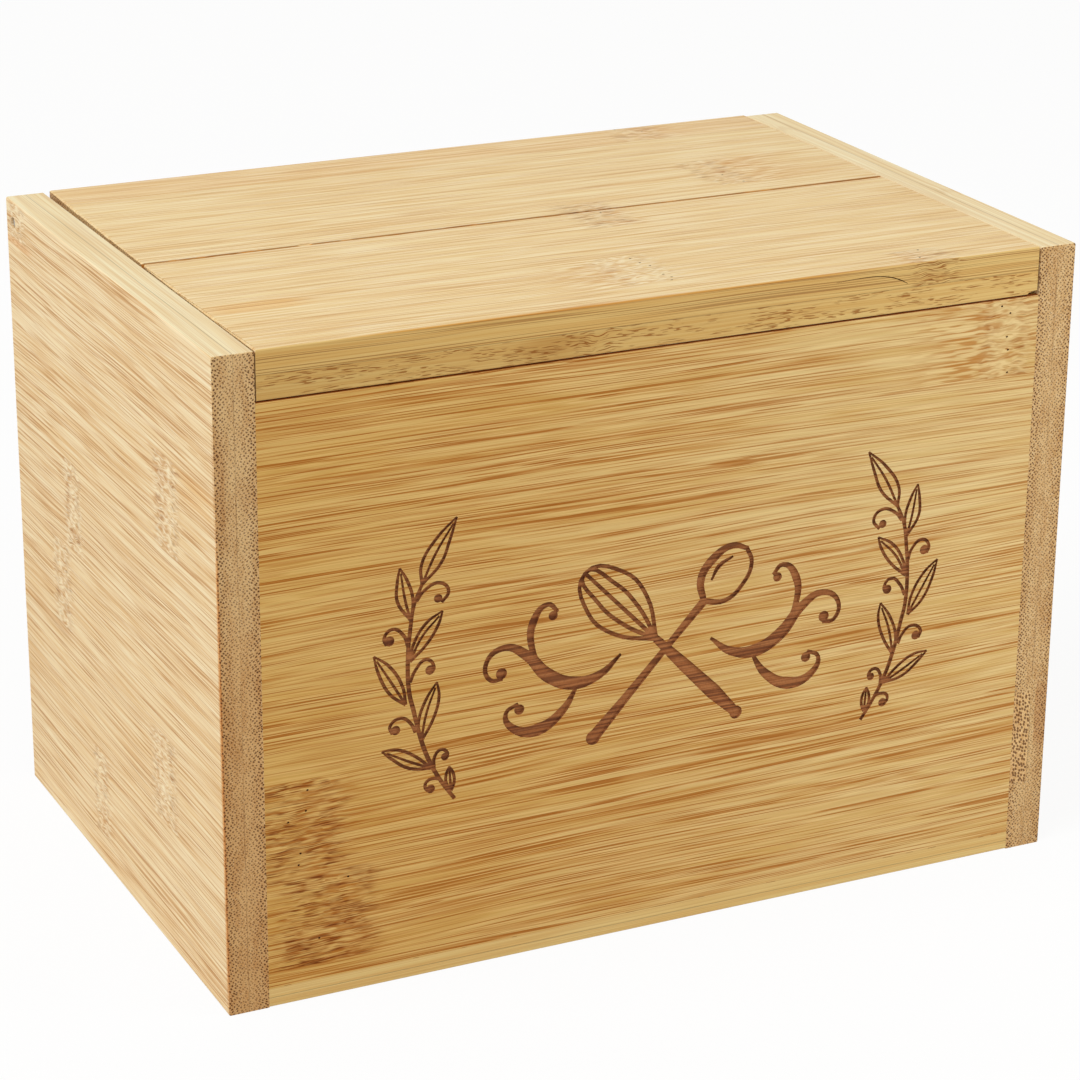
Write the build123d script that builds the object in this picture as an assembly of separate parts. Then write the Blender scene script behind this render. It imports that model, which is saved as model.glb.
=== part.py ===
from build123d import *
import os
from math import sqrt

# A bamboo recipe card box: a glued carcass of five boards and a lid that swings on two steel pins.
# Sizes are in millimetres. The origin is the centre of the underside, +X is to the right as seen from
# the front, +Y is to the back and +Z is up. The lid is modelled closed.

# Carcass, outside sizes and board thicknesses
box_width = 178.0
box_depth = 118.0
box_height = 128.0
end_panel_thickness = 8.0
front_panel_thickness = 8.0
back_panel_thickness = 8.0
base_thickness = 3.8
edge_round = 0.4  # sanded radius on the edges that a hand meets

# Lid board, and the gaps that it is fitted with
lid_thickness = 9.5
lid_rise = 0.25  # how far its face stands above the end panels
lid_seat_gap = 0.25  # between its underside and the front and back panels
lid_gap_right = 0.45
lid_gap_left_front = 0.25
lid_gap_left_middle = 0.35
lid_gap_left_rear = 1.25  # the left end is sawn in a slight bow that runs off square

# Saw-cut slot in the lid's face that holds a recipe card upright
slot_width = 1.0
slot_depth = 5.0
slot_from_rear = 59.2

# Hinge pins, one in each end panel
pin_diameter = 2.6
pin_chamfer = 0.3
pin_recess = 0.4  # how far its outer end lies inside the end panel's face
pin_reach = 14.0  # how far it enters the lid, counted from the end panel's inner face
pin_running_clearance = 0.08  # on the radius, in the lid's bore
pin_bore_spare = 1.0  # empty depth past the pin's inner end
heel_relief = 0.35  # how much nearer the rear face is to the pin's axis than the underside

# Glued dowels that join the front and back panels to the end panels
dowel_diameter = 4.0
dowel_length = 14.0
dowel_skin = 3.0  # wood left between a dowel's hole and the end panel's outer face
dowel_glue_room = 0.3  # empty length at each end of a dowel
dowel_edge_distance = 18.0  # from the panel's lower and upper edges to the outer dowels
dowels_per_joint = 3

# Places that follow from the sizes
inner_half_width = box_width / 2 - end_panel_thickness
front_face_y = -box_depth / 2
back_face_y = box_depth / 2
lid_top = box_height + lid_rise
lid_bottom = lid_top - lid_thickness
panel_top = lid_bottom - lid_seat_gap
pin_radius = pin_diameter / 2
heel_radius = lid_thickness / 2
hinge_y = back_face_y - (heel_radius - heel_relief)
hinge_z = lid_bottom + heel_radius
dowel_in_end_panel = end_panel_thickness - dowel_skin - dowel_glue_room
overshoot = 1.0  # how far a cutting tool runs past the face that it enters


def block(x_range, y_range, z_range):
    """A rectangular solid between two corners."""
    size = [high - low for low, high in (x_range, y_range, z_range)]
    centre = [(high + low) / 2 for low, high in (x_range, y_range, z_range)]
    return Pos(*centre) * Box(*size)


def rod_along_x(x_range, y, z, radius):
    """A round solid along X."""
    length = x_range[1] - x_range[0]
    centre_x = (x_range[0] + x_range[1]) / 2
    return Pos(centre_x, y, z) * Rot(0, 90, 0) * Cylinder(radius, length)


def mirrored_span(side, inner, outer):
    """The X range from inner to outer on one side: side is -1 for the left and 1 for the right."""
    return tuple(sorted((side * inner, side * outer)))


def dowel_heights():
    """The Z of each dowel of one joint, evenly spaced between the outer two."""
    lowest = base_thickness + dowel_edge_distance
    highest = panel_top - dowel_edge_distance
    step = (highest - lowest) / (dowels_per_joint - 1)
    return [lowest + step * i for i in range(dowels_per_joint)]


def dowel_row(side, y, spare):
    """The dowels of one corner joint, or with spare length the holes that they sit in."""
    outer = inner_half_width + dowel_in_end_panel + spare
    inner = inner_half_width + dowel_in_end_panel - dowel_length - spare
    x_range = mirrored_span(side, inner, outer)
    return [rod_along_x(x_range, y, z, dowel_diameter / 2) for z in dowel_heights()]


front_dowel_y = front_face_y + front_panel_thickness / 2
back_dowel_y = back_face_y - back_panel_thickness / 2


def end_panel(side):
    """An upright end panel, full height and depth, with the edges of its outer face and its top rounded."""
    x_range = mirrored_span(side, inner_half_width, box_width / 2)
    board = block(x_range, (front_face_y, back_face_y), (0, box_height))
    outer_face = board.faces().sort_by(Axis.X)[-1 if side > 0 else 0]
    top_face = board.faces().sort_by(Axis.Z)[-1]
    top_edges_inside = top_face.edges().sort_by(lambda edge: side * edge.center().X)[:-1]
    board = fillet(outer_face.edges() + top_edges_inside, edge_round)
    pin_hole = rod_along_x(
        mirrored_span(side, inner_half_width - overshoot, box_width / 2 + overshoot),
        hinge_y,
        hinge_z,
        pin_radius,
    )
    holes = dowel_row(side, front_dowel_y, dowel_glue_room) + dowel_row(side, back_dowel_y, dowel_glue_room)
    return board - [pin_hole] - holes


def wall_panel(y_range, dowel_y):
    """The front or the back panel, between the end panels and on the base, with its top edges rounded."""
    board = block((-inner_half_width, inner_half_width), y_range, (base_thickness, panel_top))
    top_edges = board.faces().sort_by(Axis.Z)[-1].edges().filter_by(Axis.X)
    board = fillet(top_edges, edge_round)
    return board - dowel_row(-1, dowel_y, dowel_glue_room) - dowel_row(1, dowel_y, dowel_glue_room)


def base_board():
    """The thin base, whose front and back edges show below the walls."""
    board = block((-inner_half_width, inner_half_width), (front_face_y, back_face_y), (0, base_thickness))
    bottom_edges = board.faces().sort_by(Axis.Z)[0].edges().filter_by(Axis.X)
    return fillet(bottom_edges, edge_round)


def lid_side_profile():
    """The lid seen from its end. The heel is an arc about the pin, so that it turns clear of the back panel."""
    rear_drop = sqrt(heel_radius**2 - (heel_radius - heel_relief) ** 2)
    heel_middle = heel_radius / sqrt(2)
    rear_top = (back_face_y, lid_top)
    front_top = (front_face_y, lid_top)
    front_bottom = (front_face_y, lid_bottom)
    heel_start = (hinge_y, lid_bottom)
    heel_end = (back_face_y, hinge_z - rear_drop)
    outline = [
        Line(rear_top, front_top),
        Line(front_top, front_bottom),
        Line(front_bottom, heel_start),
        ThreePointArc(heel_start, (hinge_y + heel_middle, hinge_z - heel_middle), heel_end),
        Line(heel_end, rear_top),
    ]
    return Plane.YZ * make_face(outline)


def lid_plan():
    """The lid seen from above, straight at its right end and slightly bowed at its left end."""
    front_left, middle_left, rear_left = [
        (-inner_half_width + gap, y)
        for gap, y in (
            (lid_gap_left_front, front_face_y),
            (lid_gap_left_middle, (front_face_y + back_face_y) / 2),
            (lid_gap_left_rear, back_face_y),
        )
    ]
    front_right = (inner_half_width - lid_gap_right, front_face_y)
    rear_right = (inner_half_width - lid_gap_right, back_face_y)
    outline = [
        Line(front_left, front_right),
        Line(front_right, rear_right),
        Line(rear_right, rear_left),
        ThreePointArc(rear_left, middle_left, front_left),
    ]
    return make_face(outline)


def lid():
    """The lid board, its ends cut to the gaps beside the end panels, with the card slot and the pin bores."""
    board = extrude(lid_side_profile(), inner_half_width, both=True)
    board = board & extrude(Pos(0, 0, lid_bottom) * lid_plan(), lid_thickness)
    top_edges = board.faces().sort_by(Axis.Z)[-1].edges()
    front_bottom_edge = board.faces().sort_by(Axis.Y)[0].edges().sort_by(Axis.Z)[0]
    board = fillet(top_edges + [front_bottom_edge], edge_round)
    slot_y = back_face_y - slot_from_rear
    slot = block(
        (-box_width / 2, box_width / 2),
        (slot_y - slot_width / 2, slot_y + slot_width / 2),
        (lid_top - slot_depth, lid_top + overshoot),
    )
    bore_end = inner_half_width - pin_reach - pin_bore_spare
    bores = [
        rod_along_x(mirrored_span(side, bore_end, box_width / 2), hinge_y, hinge_z, pin_radius + pin_running_clearance)
        for side in (-1, 1)
    ]
    return board - [slot] - bores


def hinge_pin(side):
    """A headless steel pin, pressed into its end panel and running in the lid, with chamfered ends."""
    x_range = mirrored_span(side, inner_half_width - pin_reach, box_width / 2 - pin_recess)
    pin = rod_along_x(x_range, hinge_y, hinge_z, pin_radius)
    return chamfer(pin.edges().filter_by(GeomType.CIRCLE), pin_chamfer)


os.makedirs("parts", exist_ok=True)

parts = {
    "left_end_panel": end_panel(-1),
    "right_end_panel": end_panel(1),
    "front_panel": wall_panel((front_face_y, front_face_y + front_panel_thickness), front_dowel_y),
    "back_panel": wall_panel((back_face_y - back_panel_thickness, back_face_y), back_dowel_y),
    "base_board": base_board(),
    "lid": lid(),
    "left_hinge_pin": hinge_pin(-1),
    "right_hinge_pin": hinge_pin(1),
    "front_left_dowels": Compound(children=dowel_row(-1, front_dowel_y, 0)),
    "front_right_dowels": Compound(children=dowel_row(1, front_dowel_y, 0)),
    "back_left_dowels": Compound(children=dowel_row(-1, back_dowel_y, 0)),
    "back_right_dowels": Compound(children=dowel_row(1, back_dowel_y, 0)),
}

for name, shape in parts.items():
    export_step(shape, f"parts/{name}.step")

print(f"hinge axis at y {hinge_y:.3f}, z {hinge_z:.3f}; panels reach z {panel_top:.3f}")
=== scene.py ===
"""The looks of a bamboo recipe card box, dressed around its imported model.

Sizes on the box are in millimetres, and MM turns them into Blender's metres. X runs to the right, Y to the
back and Z up. Each board is two plies of glued strips, and its grain is worked out in three dimensions, so
that faces, edges and ends show the same fibres.
"""

import logging
import math
import random
from dataclasses import dataclass, field
from enum import Enum
from typing import Any, Sequence, Union

import bpy
from mathutils import Matrix, Vector


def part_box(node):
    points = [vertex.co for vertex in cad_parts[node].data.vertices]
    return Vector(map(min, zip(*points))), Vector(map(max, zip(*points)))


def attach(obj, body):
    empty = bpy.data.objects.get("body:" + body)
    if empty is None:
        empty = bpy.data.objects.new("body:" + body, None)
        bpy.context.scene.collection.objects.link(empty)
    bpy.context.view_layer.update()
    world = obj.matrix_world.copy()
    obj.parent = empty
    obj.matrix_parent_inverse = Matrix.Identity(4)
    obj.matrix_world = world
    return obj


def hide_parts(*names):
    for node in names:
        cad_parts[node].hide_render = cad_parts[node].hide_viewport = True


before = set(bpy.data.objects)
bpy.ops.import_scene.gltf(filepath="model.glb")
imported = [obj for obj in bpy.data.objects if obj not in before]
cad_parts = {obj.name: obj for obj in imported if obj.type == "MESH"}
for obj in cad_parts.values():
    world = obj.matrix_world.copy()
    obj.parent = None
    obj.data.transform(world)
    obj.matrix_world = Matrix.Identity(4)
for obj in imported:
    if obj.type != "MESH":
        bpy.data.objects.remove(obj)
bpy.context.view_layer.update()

LOG = logging.getLogger("recipe_box")
MM = 0.001
SPECULAR = 0.08
SMOOTH_DEGREES = 25
FLAT_DEGREES = 0.2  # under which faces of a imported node's copy count as one
CAD_MERGE = 0.001

Point = tuple[float, float]
Span = tuple[float, float]
Colour = tuple[float, float, float]


def srgb(red: int, green: int, blue: int) -> Colour:
    """Turn a colour as it is seen on a screen into the linear one that a shader works in.

    Args:
        red: Red from 0 to 255.
        green: Green from 0 to 255.
        blue: Blue from 0 to 255.

    Returns:
        The linear colour, each part from 0 to 1.
    """
    parts = [part / 255 for part in (red, green, blue)]
    return tuple(part / 12.92 if part <= 0.04045 else ((part + 0.055) / 1.055) ** 2.4 for part in parts)


def box_mm(node: str) -> tuple[Vector, Vector]:
    """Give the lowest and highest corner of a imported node, in millimetres."""
    low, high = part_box(node)
    return low / MM, high / MM


class Axis(Enum):
    """One of the box's own directions."""

    X = 0
    Y = 1
    Z = 2


class Cut(Enum):
    """Which way a surface cuts the fibres."""

    LONG = "along the fibres"
    END = "across the fibres"
    BOTH = "along them, and across them at the board's two ends"


# --------------------------------------------------------------------------------------------------
# Shader maths


class Value:
    """A number that varies over a surface. Arithmetic on it adds Math nodes to its sheet."""

    def __init__(self, sheet: "NodeSheet", socket: bpy.types.NodeSocket) -> None:
        """Hold a node's output socket."""
        self.sheet = sheet
        self.socket = socket

    def __add__(self, other: "Number") -> "Value":
        """Add."""
        return self.sheet.math("ADD", self, other)

    def __radd__(self, other: "Number") -> "Value":
        """Add to a plain number."""
        return self.sheet.math("ADD", other, self)

    def __sub__(self, other: "Number") -> "Value":
        """Subtract."""
        return self.sheet.math("SUBTRACT", self, other)

    def __rsub__(self, other: "Number") -> "Value":
        """Subtract from a plain number."""
        return self.sheet.math("SUBTRACT", other, self)

    def __mul__(self, other: "Number") -> "Value":
        """Multiply."""
        return self.sheet.math("MULTIPLY", self, other)

    def __rmul__(self, other: "Number") -> "Value":
        """Multiply a plain number."""
        return self.sheet.math("MULTIPLY", other, self)

    def __truediv__(self, other: "Number") -> "Value":
        """Divide."""
        return self.sheet.math("DIVIDE", self, other)

    def __gt__(self, other: "Number") -> "Value":
        """Give 1 where this is the greater and 0 elsewhere."""
        return self.sheet.math("GREATER_THAN", self, other)

    def __lt__(self, other: "Number") -> "Value":
        """Give 1 where this is the less and 0 elsewhere."""
        return self.sheet.math("LESS_THAN", self, other)

    def __abs__(self) -> "Value":
        """Drop the sign."""
        return self.sheet.math("ABSOLUTE", self)

    def __floor__(self) -> "Value":
        """Round down."""
        return self.sheet.math("FLOOR", self)

    def fraction(self) -> "Value":
        """Give the part after the point."""
        return self.sheet.math("FRACT", self)

    def most(self, other: "Number") -> "Value":
        """Give the greater of the two."""
        return self.sheet.math("MAXIMUM", self, other)

    def least(self, other: "Number") -> "Value":
        """Give the lesser of the two."""
        return self.sheet.math("MINIMUM", self, other)

    def rise(self, low: float, high: float) -> "Value":
        """Climb smoothly from 0 at low to 1 at high. With low above high it falls instead.

        Args:
            low: Where the result is 0.
            high: Where the result is 1.

        Returns:
            The mask.
        """
        settings = {"interpolation_type": "SMOOTHSTEP"}
        if low < high:
            return self.sheet.value("ShaderNodeMapRange", settings, {0: self, 1: low, 2: high})
        return 1 - self.sheet.value("ShaderNodeMapRange", settings, {0: self, 1: high, 2: low})

    def within(self, low: float, high: float, soft: float) -> "Value":
        """Give 1 between two limits, with soft edges inside them.

        Args:
            low: The lower limit.
            high: The upper limit.
            soft: How wide each edge is.

        Returns:
            The mask.
        """
        return self.rise(low, low + soft) * self.rise(high, high - soft)


Number = Union[Value, float, int]


class NodeSheet:
    """One material's nodes, and the single way in which they are added."""

    def __init__(self, tree: bpy.types.NodeTree) -> None:
        """Start an empty sheet on a node tree."""
        self.tree = tree
        tree.nodes.clear()

    def node(self, kind: str, settings: dict[str, Any], inputs: dict[Any, Any]) -> bpy.types.Node:
        """Add a node.

        Args:
            kind: The node's type.
            settings: Its own settings, by name.
            inputs: A plain value or a link for each socket, by name or index.

        Returns:
            The node.
        """
        node = self.tree.nodes.new(kind)
        for name, setting in settings.items():
            setattr(node, name, setting)
        for name, source in inputs.items():
            self.feed(node.inputs[name], source)
        return node

    def feed(self, socket: bpy.types.NodeSocket, source: Any) -> None:
        """Link a socket to a source, or set it to a plain value.

        Args:
            socket: The input.
            source: A Value, an output socket, a number, or a tuple of numbers.
        """
        if isinstance(source, Value):
            source = source.socket
        if isinstance(source, bpy.types.NodeSocket):
            self.tree.links.new(source, socket)
        elif socket.type == "RGBA":
            socket.default_value = (*source[:3], 1.0)
        else:
            socket.default_value = source

    def value(self, kind: str, settings: dict[str, Any], inputs: dict[Any, Any], output: Any = 0) -> Value:
        """Add a node and take one of its outputs as a number."""
        return Value(self, self.node(kind, settings, inputs).outputs[output])

    def math(self, operation: str, *terms: Number) -> Value:
        """Add a Math node."""
        return self.value("ShaderNodeMath", {"operation": operation}, dict(enumerate(terms)))

    def vector(self, x: Number, y: Number, z: Number = 0.0) -> bpy.types.NodeSocket:
        """Put three numbers together as a vector."""
        return self.node("ShaderNodeCombineXYZ", {}, {0: x, 1: y, 2: z}).outputs[0]

    def parts(self, source: bpy.types.NodeSocket) -> tuple[Value, Value, Value]:
        """Take a vector or a colour apart into its three numbers."""
        node = self.node("ShaderNodeSeparateXYZ", {}, {0: source})
        return tuple(Value(self, output) for output in node.outputs)

    def place(self) -> tuple[Value, Value, Value]:
        """Give the point's own X, Y and Z on the box, in millimetres."""
        metres = self.node("ShaderNodeTexCoord", {}, {}).outputs["Object"]
        settings = {"operation": "SCALE"}
        scaled = self.node("ShaderNodeVectorMath", settings, {"Vector": metres, "Scale": 1 / MM})
        return self.parts(scaled.outputs[0])

    def noise(self, x: Number, y: Number, z: Number = 0.0, detail: float = 0.0) -> Value:
        """Add smooth noise from 0 to 1 that changes over about one unit.

        Args:
            x: First place.
            y: Second place.
            z: Third place.
            detail: How many finer octaves are added.

        Returns:
            The noise.
        """
        inputs = {"Vector": self.vector(x, y, z), "Scale": 1.0, "Detail": detail}
        return self.value("ShaderNodeTexNoise", {}, inputs)

    def drawn_noise(self, along: float, across: float, detail: float = 0.0) -> Value:
        """Add noise that is drawn out along the box's X.

        Args:
            along: How far it runs along X before it changes, in millimetres.
            across: The same along Y and Z.
            detail: How many finer octaves are added.

        Returns:
            The noise.
        """
        x, y, z = self.place()
        return self.noise(x / along, y / across, z / across, detail)

    def chance(self, key: Number) -> tuple[Value, Value, Value]:
        """Draw three fixed random numbers from 0 to 1 for each value of a key."""
        node = self.node("ShaderNodeTexWhiteNoise", {"noise_dimensions": "1D"}, {"W": key})
        return self.parts(node.outputs["Color"])

    def cells(self, x: Number, y: Number, jitter: float) -> tuple[Value, tuple[Value, Value, Value]]:
        """Scatter points, one to each unit square.

        Args:
            x: First place.
            y: Second place.
            jitter: How far the points stray from a square grid, from 0 to 1.

        Returns:
            The distance to the nearest point, and that point's three random numbers.
        """
        inputs = {"Vector": self.vector(x, y), "Scale": 1.0, "Randomness": jitter}
        node = self.node("ShaderNodeTexVoronoi", {"voronoi_dimensions": "2D"}, inputs)
        return Value(self, node.outputs["Distance"]), self.parts(node.outputs["Color"])

    def mix(self, share: Number, first: Any, second: Any, blend: str = "MIX") -> bpy.types.NodeSocket:
        """Blend two colours.

        Args:
            share: How much of the second there is, from 0 to 1.
            first: A colour or a link.
            second: A colour or a link.
            blend: The blend's type.

        Returns:
            The blended colour.
        """
        settings = {"data_type": "RGBA", "blend_type": blend}
        return self.node("ShaderNodeMix", settings, {0: share, 6: first, 7: second}).outputs[2]

    def finish(self, colour: Any, roughness: Number, height: Number, **constants: Any) -> None:
        """End the sheet in one Principled shader with a bump.

        Args:
            colour: The base colour or a link to it.
            roughness: The roughness.
            height: The surface's height in millimetres.
            **constants: Plain values for other sockets, with their names' spaces as underscores.
        """
        bump = self.node("ShaderNodeBump", {}, {"Strength": 1.0, "Distance": MM, "Height": height})
        inputs = {"Base Color": colour, "Roughness": roughness, "Normal": bump.outputs[0]}
        inputs["Specular IOR Level"] = SPECULAR
        inputs.update({name.replace("_", " "): constant for name, constant in constants.items()})
        shader = self.node("ShaderNodeBsdfPrincipled", {}, inputs)
        self.node("ShaderNodeOutputMaterial", {}, {"Surface": shader.outputs[0]})


def new_sheet(name: str) -> tuple[bpy.types.Material, NodeSheet]:
    """Make an empty material and the sheet that its nodes go on."""
    material = bpy.data.materials.new(name)
    material.use_nodes = True
    return material, NodeSheet(material.node_tree)


# --------------------------------------------------------------------------------------------------
# Bamboo


@dataclass(frozen=True)
class Pattern:
    """Smooth noise that is drawn out along the fibres.

    Attributes:
        along: How far it runs along the fibres before it changes, in millimetres.
        across: The same across them.
        through: The same through the board, or 0 where it is flat and each strip draws its own.
        shift: What sets a flat pattern's draws apart.
        detail: How many finer octaves are added.
        swing: How far it pushes the fibres about, in millimetres, where it does.
    """

    along: float
    across: float
    through: float = 0.0
    shift: int = 0
    detail: float = 0.0
    swing: float = 1.0


@dataclass(frozen=True)
class Ramp:
    """How a number turns into a mask.

    Attributes:
        low: Where the mask is 0.
        high: Where it is whole. With low above high the mask falls instead.
        share: How strong it is where it is whole.
    """

    low: float
    high: float
    share: float = 1.0

    def of(self, number: Value) -> Value:
        """Give the mask of a number."""
        mask = number.rise(self.low, self.high)
        return mask if self.share == 1.0 else mask * self.share


BURN = srgb(200, 152, 132)
SCORCH = srgb(164, 106, 68)
EMBER = srgb(182, 122, 76)
CHAR = srgb(92, 54, 38)
# Painted shade: the dark colour of the small pits at a knuckle.
PIT_SHADE = srgb(52, 32, 22)
OPEN_PORE = (0.46, 0.24, 0.11)
GLUE = srgb(134, 112, 84)


@dataclass(frozen=True)
class Knuckle:
    """A ring of the cane where it crosses a strip: broken fibres, dashes, pale flecks and small pits.

    Attributes:
        along: From where to where along the fibres, in millimetres.
        across: The same across them.
        through: The same through the board's thickness.
        dark: How dark the dashes are, from 0 to 1.
        pale: How much the flecks show, from 0 to 1.
        pits: How many pits there are, from 0 to 1.
        tail: The signed length of the mottled stretch that leads away from it.
    """

    along: Span
    across: Span
    through: Span
    dark: float = 0.6
    pale: float = 0.4
    pits: float = 0.3
    tail: float = 0.0


@dataclass(frozen=True)
class Tint:
    """A patch where the cane's colour is multiplied: the wood's own colour in most, painted shade in the gap
    under the lid and in the card slot.

    Attributes:
        low: Its lower corner along, across and through the fibres.
        high: Its upper corner.
        colour: The colour that the wood is multiplied by.
        strength: How much of it shows.
        soft: How soft its edges are, in millimetres.
        calm: How much it hides the fibre lines.
        fade: How soft its edges across the fibres are, in millimetres.
    """

    low: tuple[float, float, float]
    high: tuple[float, float, float]
    colour: Colour
    strength: float = 0.5
    soft: float = 4.0
    calm: float = 0.0
    fade: float = 1.5


@dataclass(frozen=True)
class BambooColours:
    """The colours of one kind of bamboo, as linear ones.

    Attributes:
        pale: The lightest ground.
        warm: The darkest ground.
        line: A fibre bundle cut lengthwise.
        dash: What the wood is multiplied by in the dark dashes at a knuckle.
        fleck: The pale flecks at a knuckle, and the finest hairs.
        smudge: What the wood is multiplied by in the blurs at a knuckle.
        end_ground: The ground where the fibres are cut across.
        end_warm: The darker of that ground.
        end_dot: A fibre bundle cut across.
    """

    pale: Colour
    warm: Colour
    line: Colour
    dash: Colour = (0.36, 0.19, 0.1)
    fleck: Colour = srgb(244, 230, 196)
    smudge: Colour = (0.72, 0.55, 0.42)
    end_ground: Colour = srgb(212, 182, 130)
    end_warm: Colour = srgb(186, 144, 88)
    end_dot: Colour = srgb(104, 64, 36)


@dataclass(frozen=True)
class BambooBoard:
    """A two-ply board of glued bamboo strips, and the finish that shows its grain.

    Attributes:
        name: The material's name.
        along: The fibres' direction.
        across: The direction across the strips.
        through: The direction through the board.
        seam: Where the glue line between the plies is, through the board.
        strip_start: Where one strip's edge is, across the board.
        half_length: Half the board's length along the fibres.
        colours: The bamboo's colours.
        seed: What sets this board's random draws apart.
        knuckles: The knuckles in known places.
        shown: Between which limits through the board the knuckles are in known places only.
        tints: The patches of another colour.
        lines: How strongly the fibre lines show.
        roughness: How rough the lacquered face is.
        breadth: From where to where the board reaches, across it.
        edge_lines: How strongly lines show on the narrow long sides, below and above the seam.
        edge_tone: The colour that the narrow long sides are multiplied by.
        edge_dashes: How strongly short dashes show on the narrow long sides.
        loose_knuckles: Whether other strips have knuckles in drawn places.
        coarse: Strips with large bundles in the end grain, from where to where across and through.
    """

    name: str
    along: Axis
    across: Axis
    through: Axis
    seam: float
    strip_start: float
    half_length: float
    colours: BambooColours
    seed: int
    knuckles: tuple[Knuckle, ...] = ()
    shown: Span = (0.0, 0.0)
    tints: tuple[Tint, ...] = ()
    lines: float = 1.0
    roughness: float = 0.52
    breadth: Span = (-1000.0, 1000.0)
    edge_lines: tuple[float, float] = (0.3, 0.3)
    edge_tone: Colour = (1.0, 1.0, 1.0)
    edge_dashes: float = 1.0
    loose_knuckles: bool = True
    coarse: tuple[tuple[Span, Span], ...] = ()

    STRIP_WIDTH = 19.2
    STRIP_SHIFT = 0.37  # of a strip, from one ply to the other
    BUNDLE_PITCH = 0.62
    KNUCKLE_SPACING = 290.0
    KNUCKLE_HALF_LENGTH = 6.0
    END_SKIN = 0.1  # how near the board's end its end grain starts
    EDGE_SKIN = 0.08
    EDGE_SOFT = 0.12
    FINE_ROUGHNESS = 0.25
    LINE_ROUGHNESS = 0.08

    SOOT_SIZE = 0.5
    SCAN_LENGTH = 3.0
    SCAN_PITCH = 0.16
    BURNT_BANDS = Pattern(20, 0.45, shift=60)
    SOOT_RELIEF = 0.06
    SCAN_RELIEF = 0.05
    BURNT_ROUGHNESS = 0.72

    def material(self, cut: Cut) -> bpy.types.Material:
        """Make the board's finish.

        Args:
            cut: Which way the surface cuts the fibres.

        Returns:
            The material.
        """
        material, sheet = new_sheet(f"{self.name}_{cut.name.lower()}")
        grain = BambooGrain(sheet, self)
        colour, height = grain.long_face()
        edge_colour, edge_height = grain.edge_face()
        at_edge = self.at_edge(grain)
        colour = sheet.mix(at_edge, colour, edge_colour)
        height = height + (edge_height - height) * at_edge
        if cut is Cut.END:
            colour, height = grain.end_face()
        elif cut is Cut.BOTH:
            end_colour, end_height = grain.end_face()
            skin = self.half_length - self.END_SKIN
            at_end = abs(grain.u).rise(skin - self.END_SKIN, skin)
            colour = sheet.mix(at_end, colour, end_colour)
            height = height + (end_height - height) * at_end
        roughness = self.roughness + (grain.fine - 0.5) * self.FINE_ROUGHNESS
        sheet.finish(colour, roughness + grain.line * self.LINE_ROUGHNESS, height)
        return material

    def at_edge(self, grain: "BambooGrain") -> Value:
        """Give 1 on the board's narrow long sides."""
        low, high = self.breadth
        return 1 - grain.v.within(low + self.EDGE_SKIN, high - self.EDGE_SKIN, self.EDGE_SOFT)

    def burnt_material(self, depth: float, surface: float) -> bpy.types.Material:
        """Make the finish of a cut that a laser has burnt into the board.

        Args:
            depth: How deep the cuts are, in millimetres.
            surface: Where the board's face is along the through axis.

        Returns:
            The material.
        """
        material, sheet = new_sheet(f"{self.name}_burnt")
        grain = BambooGrain(sheet, self)
        colour, height = grain.long_face()
        soot = sheet.noise(*(place / self.SOOT_SIZE for place in (grain.u, grain.v, grain.w)), 2.0)
        scan = sheet.noise(grain.u / self.SCAN_LENGTH, grain.v / self.SCAN_PITCH)
        bands = grain.noise(self.BURNT_BANDS, grain.u, grain.side)
        layers = (
            (SCORCH, 0.5),
            (EMBER, Ramp(0.5, 0.36, 0.6).of(bands)),
            (CHAR, Ramp(0.52, 0.64, 0.55).of(bands)),
            (CHAR, grain.line * 0.45),
            (CHAR, Ramp(depth * 0.8, 0.0, 0.4).of(grain.w - surface)),
            (CHAR, Ramp(0.45, 0.75, 0.25).of(soot)),
        )
        burnt = sheet.mix(1.0, colour, BURN, "MULTIPLY")
        for tone, share in layers:
            burnt = sheet.mix(share, burnt, tone)
        height = height + (scan - 0.5) * self.SCAN_RELIEF + (soot - 0.5) * self.SOOT_RELIEF
        sheet.finish(burnt, self.BURNT_ROUGHNESS, height)
        return material


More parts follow.
